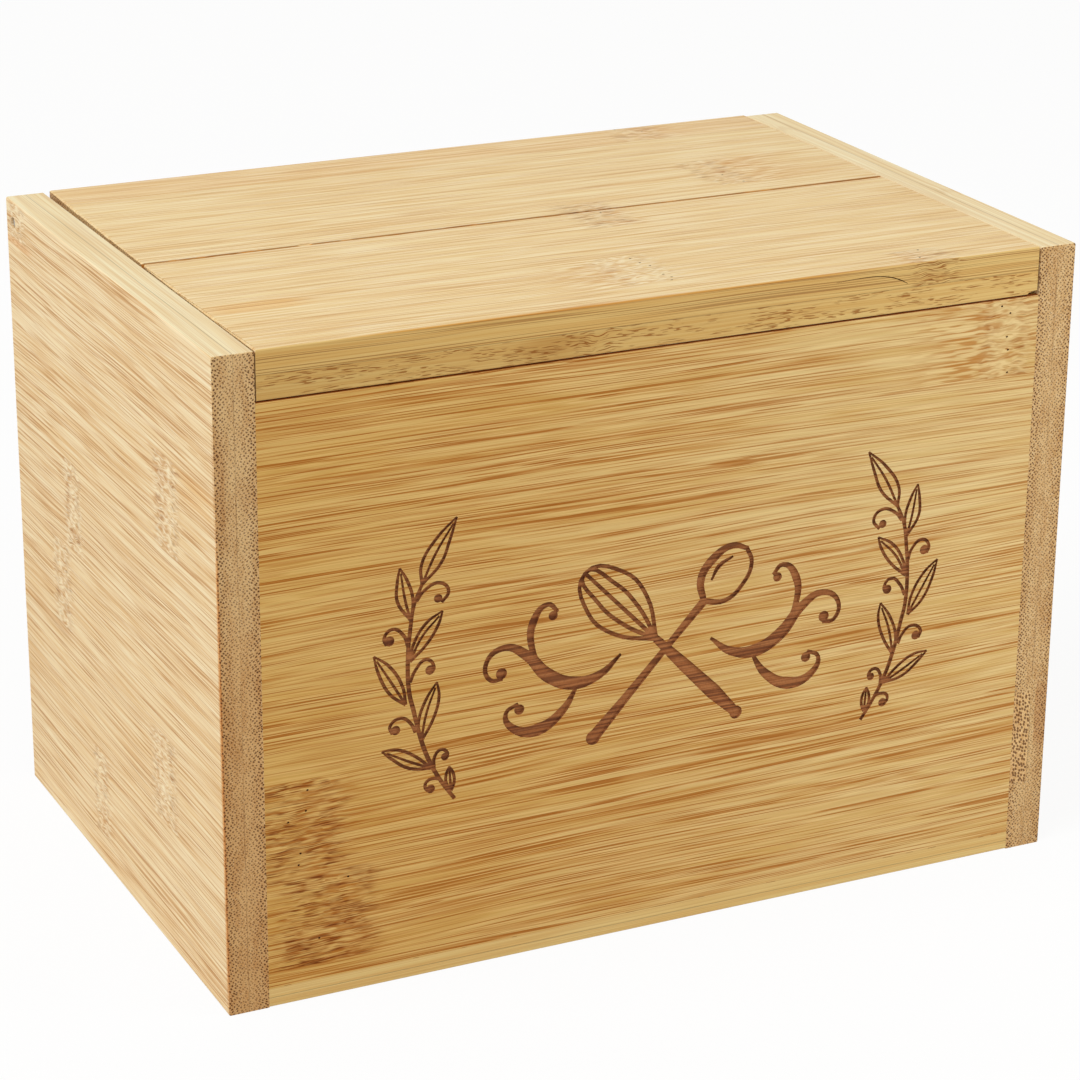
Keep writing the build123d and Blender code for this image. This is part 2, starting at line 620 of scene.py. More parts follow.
class BambooGrain:
    """The grain of one board, as values in its own millimetres: u along the fibres, v across, w through."""

    # Strips, and how their knuckles and fibres stray
    PLY_KEY = 31
    BOARD_KEY = 7.31
    STRIP_JOINT = Ramp(0.488, 0.498)  # counted in strips from the middle of one
    RAGGED = Pattern(0.8, 0.8, detail=1.0, swing=6)
    LEAN = 0.02
    DRIFT = Pattern(60, 12, swing=1.6)
    LIFT = Pattern(90, 5, shift=40, swing=4.0)
    WAVE = Pattern(3.0, 1.6, swing=1.5)
    SURGE = Pattern(4.0, 2.2, shift=9, swing=2.0)

    # Knuckles. Each reach is counted in half lengths of the knuckle.
    LOOSE_REACH = Ramp(1.3, 0.4)
    LOOSE_HEART = Ramp(0.45, 0.1, 0.5)
    LOOSE_DARK, LOOSE_PALE, LOOSE_MOTTLED, LOOSE_PITS = 0.45, 0.6, 0.3, 0.5
    REACH = Ramp(1.25, 0.5)
    HEART = Ramp(0.6, 0.2)
    STRIP_SOFT = 0.6
    CLEAR_HEART = 0.9
    TAIL_END = Ramp(1.0, 0.25)
    TAIL_START = Ramp(-0.1, 0.05)

    # Fibre bundles and the lines that they draw
    BUNDLE_JITTER = 0.5
    FIRST_OFFSET, SECOND_OFFSET = 3.7, 5.9
    BUNDLE = Ramp(0.18, 0.1)
    BOLD = Ramp(0.3, 0.9)
    SLOW = Pattern(36, 2.6, shift=3)
    SLOW_PARTS = Ramp(0.36, 0.5)
    BEADS = Pattern(14, 0.5, shift=17)
    BEAD_PARTS = Ramp(0.3, 0.6, 0.5)
    STREAK = Pattern(60, 0.27, through=2.5)
    STREAK_PARTS = Ramp(0.56, 0.64, 0.85)
    STREAK_GATHERING = 0.22
    FINE = Pattern(24, 0.24, through=0.5)

    # Colour along the fibres
    BROAD = Pattern(50, 2.0, through=4, detail=1.0)
    BROAD_WARMTH = Ramp(0.32, 0.68, 0.5)
    STRIP_WARMTH = 0.3
    PATCH = Pattern(22, 4, shift=21, detail=1.0)
    PATCH_WARMTH = Ramp(0.5, 0.72, 0.35)
    HAIRS = Pattern(16, 0.2, through=0.4)
    HAIR_PARTS = Ramp(0.5, 0.64, 0.5)
    FINE_PARTS = Ramp(0.52, 0.66, 0.3)
    LINE_SHARE = 0.72
    BOLD_LINE = Ramp(0.6, 1.0, 0.2)

    # Colour at a knuckle
    STRANDS = Pattern(5, 0.5, shift=2)
    DARK_STRANDS = Ramp(0.5, 0.62, 0.75)
    PALE_STRANDS = Ramp(0.5, 0.36, 0.35)
    CLUMPS = Pattern(4.2, 2.2, shift=6, detail=1.0)
    CLUMP_PARTS = Ramp(0.4, 0.62)
    SMUDGE = Pattern(4.6, 0.7, shift=5, detail=1.0)
    SMUDGE_PARTS = Ramp(0.4, 0.6, 0.8)
    GRAINS = Pattern(1.7, 0.42, shift=8)
    PALE_GRAINS = Ramp(0.5, 0.66, 0.75)
    DARK_GRAINS = Ramp(0.44, 0.3, 0.3)
    DASHES = Pattern(4.4, 0.25, through=2)
    DASH_PARTS = Ramp(0.52, 0.62)
    DASH_SHARE = 0.92
    CLEARED = 0.4
    DASHES_APART, SMUDGES_APART = 0.4, 0.3  # how strong they are outside a clump
    FLECKS_HIDDEN = 0.5  # how much a clump hides them
    PIT_PITCH = (2.4, 2.9)
    PIT_JITTER = 0.9
    PIT_CHANCE = 0.5
    PIT_EDGE = Ramp(0.1, 0.05)
    PIT_SHARE = 0.95
    STRIP_JOINT_SHARE = 0.2
    SEAM = Ramp(0.12, 0.05, 0.55)

    # The narrow long sides
    EDGE_SWIRL = Pattern(3.4, 2.2, shift=50, swing=1.5)
    EDGE_SWAY = Pattern(40, 6, shift=51, swing=0.8)
    EDGE_BROAD = Pattern(45, 1.1, shift=52, detail=1.0)
    EDGE_WARMTH = Ramp(0.35, 0.65, 0.6)
    EDGE_FINE = Pattern(40, 0.2, shift=53)
    EDGE_FINE_PARTS = Ramp(0.45, 0.62, 0.3)
    EDGE_LINES = Pattern(70, 0.26, shift=54)
    EDGE_LINE_PARTS = Ramp(0.54, 0.64)
    EDGE_LINE_SHARE = 0.55
    EDGE_GROUPS = Pattern(8, 1.3, shift=55)
    EDGE_GROUP_PARTS = Ramp(0.4, 0.54)
    EDGE_DASHES = Pattern(2.6, 0.21, shift=56)
    EDGE_DASH_PARTS = Ramp(0.57, 0.63)
    EDGE_DASH_SHARE = 0.85
    EDGE_BROKEN, EDGE_HEART = 1.2, 0.4
    EDGE_SEAM = Ramp(0.14, 0.04)
    EDGE_SEAM_SHARE = 0.45

    # The ends
    HALF_PLY = 4.0
    OUTWARD = Ramp(0.1, 1.0)
    DOT_RADIUS = 0.14
    DOT_GROWTH = 0.035  # towards the board's faces
    DOT_SPREAD = 0.05  # from dot to dot
    DOT_EDGE = Ramp(0.05, -0.05)
    DOT_SHARE = 0.92
    DOT_FAINTEST = 0.7
    COARSE_PITCH = (0.84, 0.72)
    COARSE_LEAN = 2.1
    COARSE_JITTER = 0.7
    COARSE_SOFT = (0.8, 0.2)
    COARSE_DOT = Ramp(0.4, 0.3, 0.85)
    CLOUD = Pattern(7, 2, detail=2.0)
    CLOUD_WARMTH = Ramp(0.35, 0.7, 0.55)
    END_STRIP_WARMTH, OUTWARD_WARMTH = 0.25, 0.2
    SPECK = Pattern(0.2, 0.2, detail=1.0)
    PALE_SPECKS = Ramp(0.5, 0.7, 0.35)
    DARK_SPECKS = Ramp(0.5, 0.3, 0.22)
    END_SEAM = Ramp(0.1, 0.02, 0.3)
    END_SEAM_WANDER = 0.6

    # Relief in millimetres
    FINE_RELIEF, LINE_RELIEF, DASH_RELIEF = 0.012, 0.008, 0.008
    GRAIN_RELIEF, PIT_DEPTH = 0.06, 0.15
    EDGE_FINE_RELIEF, EDGE_LINE_RELIEF, EDGE_DASH_RELIEF, EDGE_SEAM_RELIEF = 0.01, 0.01, 0.03, 0.02
    SPECK_RELIEF, DOT_RELIEF = 0.012, 0.02

    def __init__(self, sheet: NodeSheet, board: BambooBoard) -> None:
        """Lay out the strips, the knuckles and the fibre bundles.

        Args:
            sheet: Where the nodes go.
            board: The board.
        """
        self.sheet = sheet
        self.board = board
        place = sheet.place()
        self.u = place[board.along.value]
        self.v = place[board.across.value]
        self.w = place[board.through.value]
        self.ply = self.w > board.seam
        strip = (self.v - board.strip_start) / board.STRIP_WIDTH + self.ply * board.STRIP_SHIFT
        self.strip_edge = self.STRIP_JOINT.of(abs(strip.fraction() - 0.5))
        self.key = math.floor(strip) + self.ply * self.PLY_KEY + board.seed * self.BOARD_KEY
        self.chances = sheet.chance(self.key)
        self.knuckle_masks()
        self.bundles()

    def noise(self, pattern: Pattern, first: Value, second: Value) -> Value:
        """Lay a pattern over the board.

        Args:
            pattern: The pattern.
            first: The place along it.
            second: The place across it.

        Returns:
            The noise, from 0 to 1.
        """
        if pattern.through:
            third = self.depth / pattern.through
        else:
            third = self.key + pattern.shift if pattern.shift else self.key
        return self.sheet.noise(first / pattern.along, second / pattern.across, third, pattern.detail)

    def swing(self, pattern: Pattern, first: Value, second: Value) -> Value:
        """Lay a pattern as a push to either side, in millimetres."""
        return (self.noise(pattern, first, second) - 0.5) * pattern.swing

    def knuckle_masks(self) -> None:
        """Work out where broken fibres, dashes, flecks, pits and mottling show."""
        board = self.board
        self.ragged_u = self.u + self.swing(self.RAGGED, self.v, self.w)
        self.broken = self.dark = self.pale = self.heart = self.mottled = self.pitted = self.u * 0
        if board.loose_knuckles:
            middle = (self.chances[2] - 0.5) * board.KNUCKLE_SPACING
            low, high = board.shown
            hidden = 1 - (self.w > low) * (self.w < high)
            reach = abs(self.ragged_u - middle) / board.KNUCKLE_HALF_LENGTH
            self.broken = self.LOOSE_REACH.of(reach) * hidden
            self.dark = self.broken * self.LOOSE_DARK
            self.pale = self.broken * self.LOOSE_PALE
            self.heart = self.LOOSE_HEART.of(reach) * hidden
            self.mottled = self.broken * self.LOOSE_MOTTLED
            self.pitted = self.heart * self.LOOSE_PITS
        for knuckle in board.knuckles:
            self.add_knuckle(knuckle)

    def add_knuckle(self, knuckle: Knuckle) -> None:
        """Add one knuckle in a known place to the masks."""
        start, end = knuckle.along
        middle, half = (start + end) / 2, (end - start) / 2
        strip = self.v.within(*knuckle.across, self.STRIP_SOFT)
        strip = strip * (self.w > knuckle.through[0]) * (self.w < knuckle.through[1])
        away = self.ragged_u - middle
        reach = abs(away) / half
        zone = self.REACH.of(reach) * strip
        heart = self.HEART.of(reach) * strip
        self.broken = self.broken.most(zone)
        self.dark = self.dark.most(zone * (1 - heart * (knuckle.pale * self.CLEAR_HEART)) * knuckle.dark)
        self.pale = self.pale.most(zone * knuckle.pale)
        self.heart = self.heart.most(heart * knuckle.dark)
        self.pitted = self.pitted.most(heart * knuckle.pits)
        if knuckle.tail:
            far = away / knuckle.tail
            self.mottled = self.mottled.most(self.TAIL_END.of(far) * self.TAIL_START.of(far) * strip)

    def bundles(self) -> None:
        """Work out the fibre bundles, which wander slowly and are thrown about at a knuckle."""
        lean = self.u * (self.chances[0] - 0.5) * self.LEAN
        drift = self.swing(self.DRIFT, self.u, self.v)
        lift = self.swing(self.LIFT, self.u, self.v)
        wave = self.swing(self.WAVE, self.u, self.v) * self.pale
        surge = self.swing(self.SURGE, self.u, self.v) * self.broken
        self.side = self.v + lean + drift + wave
        self.depth = self.w + lift + surge
        spread = self.board.BUNDLE_PITCH * math.sqrt(2)
        first = (self.side + self.depth) / spread + self.key * self.FIRST_OFFSET
        second = (self.side - self.depth) / spread + self.key * self.SECOND_OFFSET
        away, draws = self.sheet.cells(first, second, self.BUNDLE_JITTER)
        self.away = away * self.board.BUNDLE_PITCH
        self.strength = draws[0]
        slow = self.noise(self.SLOW, self.u, self.side)
        bundle = self.BUNDLE.of(self.away) * self.BOLD.of(self.strength) * self.SLOW_PARTS.of(slow)
        streak = self.noise(self.STREAK, self.u, self.side) + (slow - 0.5) * self.STREAK_GATHERING
        beads = self.BEAD_PARTS.of(self.noise(self.BEADS, self.u, self.side)) + (1 - self.BEAD_PARTS.share)
        self.line = bundle.most(self.STREAK_PARTS.of(streak)) * beads
        self.fine = self.noise(self.FINE, self.u, self.side)

    def fibre_lines(self) -> Value:
        """Give how strongly the board's fibre lines show, which some patches calm."""
        lines = self.u * 0 + self.board.lines
        for tint in self.board.tints:
            if tint.calm:
                lines = lines * (1 - self.tint_mask(tint) * (tint.calm / tint.strength))
        return lines

    def long_face(self) -> tuple[bpy.types.NodeSocket, Value]:
        """Give the colour and the height of a surface along the fibres."""
        sheet = self.sheet
        tones = self.board.colours
        lines = self.fibre_lines()
        broad = self.BROAD_WARMTH.of(self.noise(self.BROAD, self.u, self.side))
        colour = sheet.mix(broad + self.chances[1] * self.STRIP_WARMTH, tones.pale, tones.warm)
        colour = sheet.mix(self.PATCH_WARMTH.of(self.noise(self.PATCH, self.u, self.v)), colour, tones.warm)
        colour = sheet.mix(self.HAIR_PARTS.of(self.noise(self.HAIRS, self.u, self.side)), colour, tones.fleck)
        colour = sheet.mix(self.FINE_PARTS.of(self.fine) * lines, colour, tones.line)
        colour = sheet.mix((self.line * self.LINE_SHARE * lines).least(1.0), colour, tones.line)
        colour = sheet.mix(self.BOLD_LINE.of(self.line) * lines, colour, tones.dash, "MULTIPLY")
        colour, height = self.knuckled(colour)
        colour = sheet.mix(self.strip_edge * self.STRIP_JOINT_SHARE, colour, tones.line)
        colour = sheet.mix(self.SEAM.of(abs(self.w - self.board.seam)), colour, GLUE)
        height = height + (self.fine - 0.5) * self.FINE_RELIEF - self.line * self.LINE_RELIEF
        return self.stained_and_shaded(colour), height

    def knuckled(self, colour: Any) -> tuple[bpy.types.NodeSocket, Value]:
        """Lay the knuckles' strands, smudges, flecks, dashes and pits over a colour.

        Args:
            colour: The colour of the plain wood.

        Returns:
            The colour with the knuckles, and their height.
        """
        sheet = self.sheet
        tones = self.board.colours
        strands = self.noise(self.STRANDS, self.ragged_u, self.side)
        clumps = self.CLUMP_PARTS.of(self.noise(self.CLUMPS, self.u, self.v))
        smudge = self.SMUDGE_PARTS.of(self.noise(self.SMUDGE, self.ragged_u, self.v))
        grains = self.noise(self.GRAINS, self.u, self.side)
        dashes = self.DASH_PARTS.of(self.noise(self.DASHES, self.ragged_u, self.side))
        dashes = dashes * (clumps * (1 - self.DASHES_APART) + self.DASHES_APART) * self.dark
        colour = sheet.mix(self.DARK_STRANDS.of(strands) * self.mottled, colour, tones.line)
        colour = sheet.mix(self.PALE_STRANDS.of(strands) * self.mottled, colour, tones.fleck)
        colour = sheet.mix(self.pale * (1 - clumps) * self.CLEARED, colour, tones.pale)
        smudge = smudge * (clumps * (1 - self.SMUDGES_APART) + self.SMUDGES_APART) * self.dark
        colour = sheet.mix(smudge, colour, tones.smudge, "MULTIPLY")
        flecks = self.PALE_GRAINS.of(grains) * (1 - clumps * self.FLECKS_HIDDEN)
        colour = sheet.mix(flecks * self.pale, colour, tones.fleck)
        colour = sheet.mix(self.DARK_GRAINS.of(grains) * self.pale, colour, tones.line)
        colour = sheet.mix(dashes * self.DASH_SHARE, colour, tones.dash, "MULTIPLY")
        pit_along, pit_across = self.PIT_PITCH
        pit_away, pit_draws = sheet.cells(self.u / pit_along, self.v / pit_across, self.PIT_JITTER)
        pits = self.PIT_EDGE.of(pit_away) * (pit_draws[0] < self.pitted * self.PIT_CHANCE)
        # The pits are painted dark as their shade; their hollow is only a bump.
        colour = sheet.mix(pits * self.PIT_SHARE, colour, PIT_SHADE)
        height = (grains - 0.5) * self.pale * self.GRAIN_RELIEF
        return colour, height - dashes * self.DASH_RELIEF - pits * self.PIT_DEPTH

    def edge_face(self) -> tuple[bpy.types.NodeSocket, Value]:
        """Give the colour and the height of the narrow long sides, where each ply shows its own cut."""
        sheet = self.sheet
        tones = self.board.colours
        below, above = self.board.edge_lines
        lined = self.ply * (above - below) + below
        swirl = self.swing(self.EDGE_SWIRL, self.u, self.w) * self.broken
        level = self.w + swirl + self.swing(self.EDGE_SWAY, self.u, self.w)
        broad = self.EDGE_WARMTH.of(self.noise(self.EDGE_BROAD, self.u, level))
        colour = sheet.mix(broad, tones.pale, tones.warm)
        fine = self.noise(self.EDGE_FINE, self.u, level)
        colour = sheet.mix(self.EDGE_FINE_PARTS.of(fine), colour, tones.line)
        lines = self.EDGE_LINE_PARTS.of(self.noise(self.EDGE_LINES, self.u, level)) * lined
        colour = sheet.mix(lines * self.EDGE_LINE_SHARE, colour, tones.dash, "MULTIPLY")
        groups = self.EDGE_GROUP_PARTS.of(self.noise(self.EDGE_GROUPS, self.u, self.w))
        groups = (groups * (1 - lined)).most(self.broken * self.EDGE_BROKEN).least(1.0) * self.board.edge_dashes
        dashes = self.EDGE_DASH_PARTS.of(self.noise(self.EDGE_DASHES, self.u, level)) * groups
        colour = sheet.mix(dashes * self.EDGE_DASH_SHARE, colour, OPEN_PORE, "MULTIPLY")
        colour = sheet.mix(self.heart * self.EDGE_HEART, colour, tones.smudge, "MULTIPLY")
        seam = self.EDGE_SEAM.of(abs(self.w - self.board.seam))
        colour = sheet.mix(seam * self.EDGE_SEAM_SHARE, colour, GLUE)
        # Paler and cooler on the end panels' top and bottom faces, darker and warmer on the lid's and the
        # base's front and back.
        colour = sheet.mix(1.0, colour, self.board.edge_tone, "MULTIPLY")
        height = (fine - 0.5) * self.EDGE_FINE_RELIEF - lines * self.EDGE_LINE_RELIEF
        height = height - dashes * self.EDGE_DASH_RELIEF - seam * self.EDGE_SEAM_RELIEF
        return self.stained_and_shaded(colour), height

    def end_face(self) -> tuple[bpy.types.NodeSocket, Value]:
        """Give the colour and the height of a surface across the fibres."""
        sheet = self.sheet
        tones = self.board.colours
        outward = self.OUTWARD.of(abs(self.w - self.board.seam) / self.HALF_PLY)
        radius = self.DOT_RADIUS + outward * self.DOT_GROWTH + (self.strength - 0.5) * self.DOT_SPREAD
        dots = self.DOT_EDGE.of(self.away - radius) * (outward * (1 - self.DOT_FAINTEST) + self.DOT_FAINTEST)
        for across, through in self.board.coarse:
            dots = self.coarse_dots(dots, across, through)
        cloud = self.noise(self.CLOUD, self.v, self.w)
        warmth = self.CLOUD_WARMTH.of(cloud) + self.chances[1] * self.END_STRIP_WARMTH
        warmth = warmth + outward * self.OUTWARD_WARMTH
        ground = sheet.mix(warmth, tones.end_ground, tones.end_warm)
        speck = self.noise(self.SPECK, self.v, self.w)
        ground = sheet.mix(self.PALE_SPECKS.of(speck), ground, tones.fleck)
        ground = sheet.mix(self.DARK_SPECKS.of(speck), ground, tones.end_dot)
        colour = sheet.mix(dots * self.DOT_SHARE, ground, tones.end_dot)
        wander = (cloud - 0.5) * self.END_SEAM_WANDER
        colour = sheet.mix(self.END_SEAM.of(abs(self.w - self.board.seam + wander)), colour, tones.end_dot)
        return self.stained_and_shaded(colour), speck * self.SPECK_RELIEF - dots * self.DOT_RELIEF

    def coarse_dots(self, dots: Value, across: Span, through: Span) -> Value:
        """Put large bundles in place of the usual ones in one part of the end grain.

        Args:
            dots: The mask of the usual bundles.
            across: From where to where the part reaches across the board.
            through: The same through the board.

        Returns:
            The mask with the large bundles.
        """
        pitch_across, pitch_through = self.COARSE_PITCH
        soft_across, soft_through = self.COARSE_SOFT
        coarse = self.v.within(*across, soft_across) * self.w.within(*through, soft_through)
        first = self.v / pitch_across + self.w / self.COARSE_LEAN
        large = self.COARSE_DOT.of(self.sheet.cells(first, self.w / pitch_through, self.COARSE_JITTER)[0])
        return dots + (large - dots) * coarse

    def stained_and_shaded(self, colour: Any) -> Any:
        """Multiply a colour by each patch of the board's tints, the wood's own colours and painted shade alike.
        """
        for tint in self.board.tints:
            colour = self.sheet.mix(self.tint_mask(tint), colour, tint.colour, "MULTIPLY")
        return colour

    def tint_mask(self, tint: Tint) -> Value:
        """Give how much of a patch's colour shows."""
        ragged = tint.soft >= 1  # a sharp patch ends at a clean line
        mask = (self.ragged_u if ragged else self.u).within(tint.low[0], tint.high[0], tint.soft)
        soft_v = min(tint.fade, (tint.high[1] - tint.low[1]) / 3)
        soft_w = min(tint.soft, 0.2, (tint.high[2] - tint.low[2]) / 3)
        mask = mask * self.v.within(tint.low[1], tint.high[1], soft_v)
        return mask * self.w.within(tint.low[2], tint.high[2], soft_w) * tint.strength


# --------------------------------------------------------------------------------------------------
# Other finishes


@dataclass(frozen=True)
class HingeSteel:
    """Bright drawn steel wire, cropped at its ends."""

    colour: Colour = srgb(196, 198, 202)
    cropped_colour: Colour = srgb(150, 150, 152)
    drawn_size: Span = (6.0, 0.12)
    cropped_size: Span = (0.3, 0.35)
    octaves: float = 2.0
    roughness: Span = (0.28, 0.2)  # at least, and how much more it may be
    relief: Span = (0.01, 0.02)

    def material(self) -> bpy.types.Material:
        """Make the finish."""
        material, sheet = new_sheet("hinge_steel")
        drawn = sheet.drawn_noise(*self.drawn_size, self.octaves)
        cropped = sheet.drawn_noise(*self.cropped_size, self.octaves)
        colour = sheet.mix(Ramp(0.4, 0.7, 0.5).of(cropped), self.colour, self.cropped_colour)
        height = drawn * self.relief[0] + cropped * self.relief[1]
        sheet.finish(colour, self.roughness[0] + drawn * self.roughness[1], height, Metallic=1.0)
        return material


@dataclass(frozen=True)
class HollowShade:
    """Painted shade for the inside of a pit or a split in the cane, in a dark rough brown."""

    colour: Colour = srgb(74, 42, 26)
    crumb_colour: Colour = srgb(116, 70, 42)
    crumb_size: Span = (0.2, 0.12)
    octaves: float = 2.0
    roughness: float = 0.8
    relief: float = 0.03

    def material(self) -> bpy.types.Material:
        """Make the finish."""
        material, sheet = new_sheet("painted_hollow_shade")
        crumbs = sheet.drawn_noise(*self.crumb_size, self.octaves)
        colour = sheet.mix(Ramp(0.35, 0.7, 0.5).of(crumbs), self.colour, self.crumb_colour)
        sheet.finish(colour, self.roughness, crumbs * self.relief)
        return material


@dataclass(frozen=True)
class DowelWood:
    """Pale turned hardwood with straight grain along X."""

    pale: Colour = srgb(222, 190, 146)
    dark: Colour = srgb(178, 138, 96)
    pore_colour: Colour = srgb(120, 84, 56)
    ring_size: Span = (40.0, 0.6)
    pore_size: Span = (2.5, 0.12)
    octaves: float = 2.0
    roughness: float = 0.7
    relief: Span = (0.02, 0.03)

    def material(self) -> bpy.types.Material:
        """Make the finish."""
        material, sheet = new_sheet("dowel_wood")
        rings = sheet.drawn_noise(*self.ring_size, self.octaves)
        pores = Ramp(0.62, 0.72).of(sheet.drawn_noise(*self.pore_size))
        colour = sheet.mix(Ramp(0.35, 0.65).of(rings), self.pale, self.dark)
        colour = sheet.mix(pores * 0.5, colour, self.pore_colour)
        sheet.finish(colour, self.roughness, rings * self.relief[0] - pores * self.relief[1])
        return material


# --------------------------------------------------------------------------------------------------
# Modelling


def deselect() -> None:
    """Leave edit mode and select nothing."""
    if bpy.context.object is not None and bpy.context.object.mode != "OBJECT":
        bpy.ops.object.mode_set(mode="OBJECT")
    bpy.ops.object.select_all(action="DESELECT")


def pick(*pieces: bpy.types.Object) -> None:
    """Select these pieces alone and make the first of them active."""
    deselect()
    for piece in pieces:
        piece.select_set(True)
    bpy.context.view_layer.objects.active = pieces[0]


def settle(piece: bpy.types.Object) -> None:
    """Put the object at the origin and keep its place in its mesh."""
    pick(piece)
    bpy.ops.object.transform_apply(location=True, rotation=True, scale=True)


def joined(pieces: Sequence[bpy.types.Object]) -> bpy.types.Object:
    """Join meshes into the first of them."""
    pick(*pieces)
    bpy.ops.object.join()
    return pieces[0]


def smooth(piece: bpy.types.Object) -> None:
    """Smooth the shading where faces meet at a small angle."""
    pick(piece)
    bpy.ops.object.shade_smooth_by_angle(angle=math.radians(SMOOTH_DEGREES))


def merged_copy(node: str, name: str) -> bpy.types.Object:
    """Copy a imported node's mesh into a new object, with its loose triangles merged into whole faces.

    Args:
        node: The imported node.
        name: The new piece's name.

    Returns:
        The new piece.
    """
    piece = bpy.data.objects.new(name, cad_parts[node].data.copy())
    bpy.context.scene.collection.objects.link(piece)
    piece.data.name = name
    piece.data.materials.clear()
    pick(piece)
    bpy.ops.mesh.customdata_custom_splitnormals_clear()
    bpy.ops.object.mode_set(mode="EDIT")
    bpy.ops.mesh.select_all(action="SELECT")
    bpy.ops.mesh.remove_doubles(threshold=CAD_MERGE * MM)
    bpy.ops.mesh.dissolve_limited(angle_limit=math.radians(FLAT_DEGREES))
    bpy.ops.object.mode_set(mode="OBJECT")
    return piece


def carve(piece: bpy.types.Object, cutter: bpy.types.Object) -> None:
    """Cut one mesh out of another and remove the cutter. The cut faces keep the cutter's material.

    Args:
        piece: What is cut.
        cutter: A closed mesh, or several that overlap.
    """
    modifier = piece.modifiers.new("carve", "BOOLEAN")
    modifier.operation = "DIFFERENCE"
    modifier.solver = "EXACT"
    modifier.use_self = True
    modifier.material_mode = "TRANSFER"
    modifier.object = cutter
    pick(piece)
    bpy.ops.object.modifier_apply(modifier=modifier.name)
    bpy.data.objects.remove(cutter)


@dataclass(frozen=True)
class Dent:
    """A pit or the place of a lost splinter.

    Attributes:
        centre: Its middle, in millimetres.
        size: Its half length, half breadth and half height along X, Y and Z.
    """

    centre: tuple[float, float, float]
    size: tuple[float, float, float]

    FINENESS = 2

    def cutter(self, material: bpy.types.Material) -> bpy.types.Object:
        """Make the rounded lump that cuts it, with the finish of its walls."""
        deselect()
        place = [number * MM for number in self.centre]
        bpy.ops.mesh.primitive_ico_sphere_add(
            subdivisions=self.FINENESS, radius=MM, location=place, scale=self.size
        )
        piece = bpy.context.object
        settle(piece)
        piece.data.materials.append(material)
        return piece


@dataclass(frozen=True)
class Stroke:
    """A brush-like cut on an upright face.

    Attributes:
        points: The middle line's points as X and Z, in millimetres.
        widths: The stroke's width, spread evenly from its first point to its last.
        fineness: How many straight pieces join two points.
    """

    points: tuple[Point, ...]
    widths: tuple[float, ...]
    fineness: int = 5

    def width_at(self, index: int) -> float:
        """Give the width at one of the points."""
        place = index / (len(self.points) - 1) * (len(self.widths) - 1)
        low = min(int(place), len(self.widths) - 2)
        share = place - low
        return self.widths[low] * (1 - share) + self.widths[low + 1] * share

    def turned(self, angle: float, centre: Point) -> "Stroke":
        """Turn the stroke about the origin and move it.

        Args:
            angle: Degrees, positive to the left as seen from the front.
            centre: Where the origin goes.

        Returns:
            The new stroke.
        """
        cos, sin = math.cos(math.radians(angle)), math.sin(math.radians(angle))
        points = tuple((centre[0] + x * cos - z * sin, centre[1] + x * sin + z * cos) for x, z in self.points)
        return Stroke(points, self.widths, self.fineness)

    def mirrored(self, middle: float) -> "Stroke":
        """Mirror the stroke about an upright line."""
        return Stroke(tuple((2 * middle - x, z) for x, z in self.points), self.widths, self.fineness)


@dataclass(frozen=True)
class Spot:
    """A round cut on an upright face, with its centre and radius in millimetres."""

    centre: Point
    radius: float

    def mirrored(self, middle: float) -> "Spot":
        """Mirror the spot about an upright line."""
        return Spot((2 * middle - self.centre[0], self.centre[1]), self.radius)


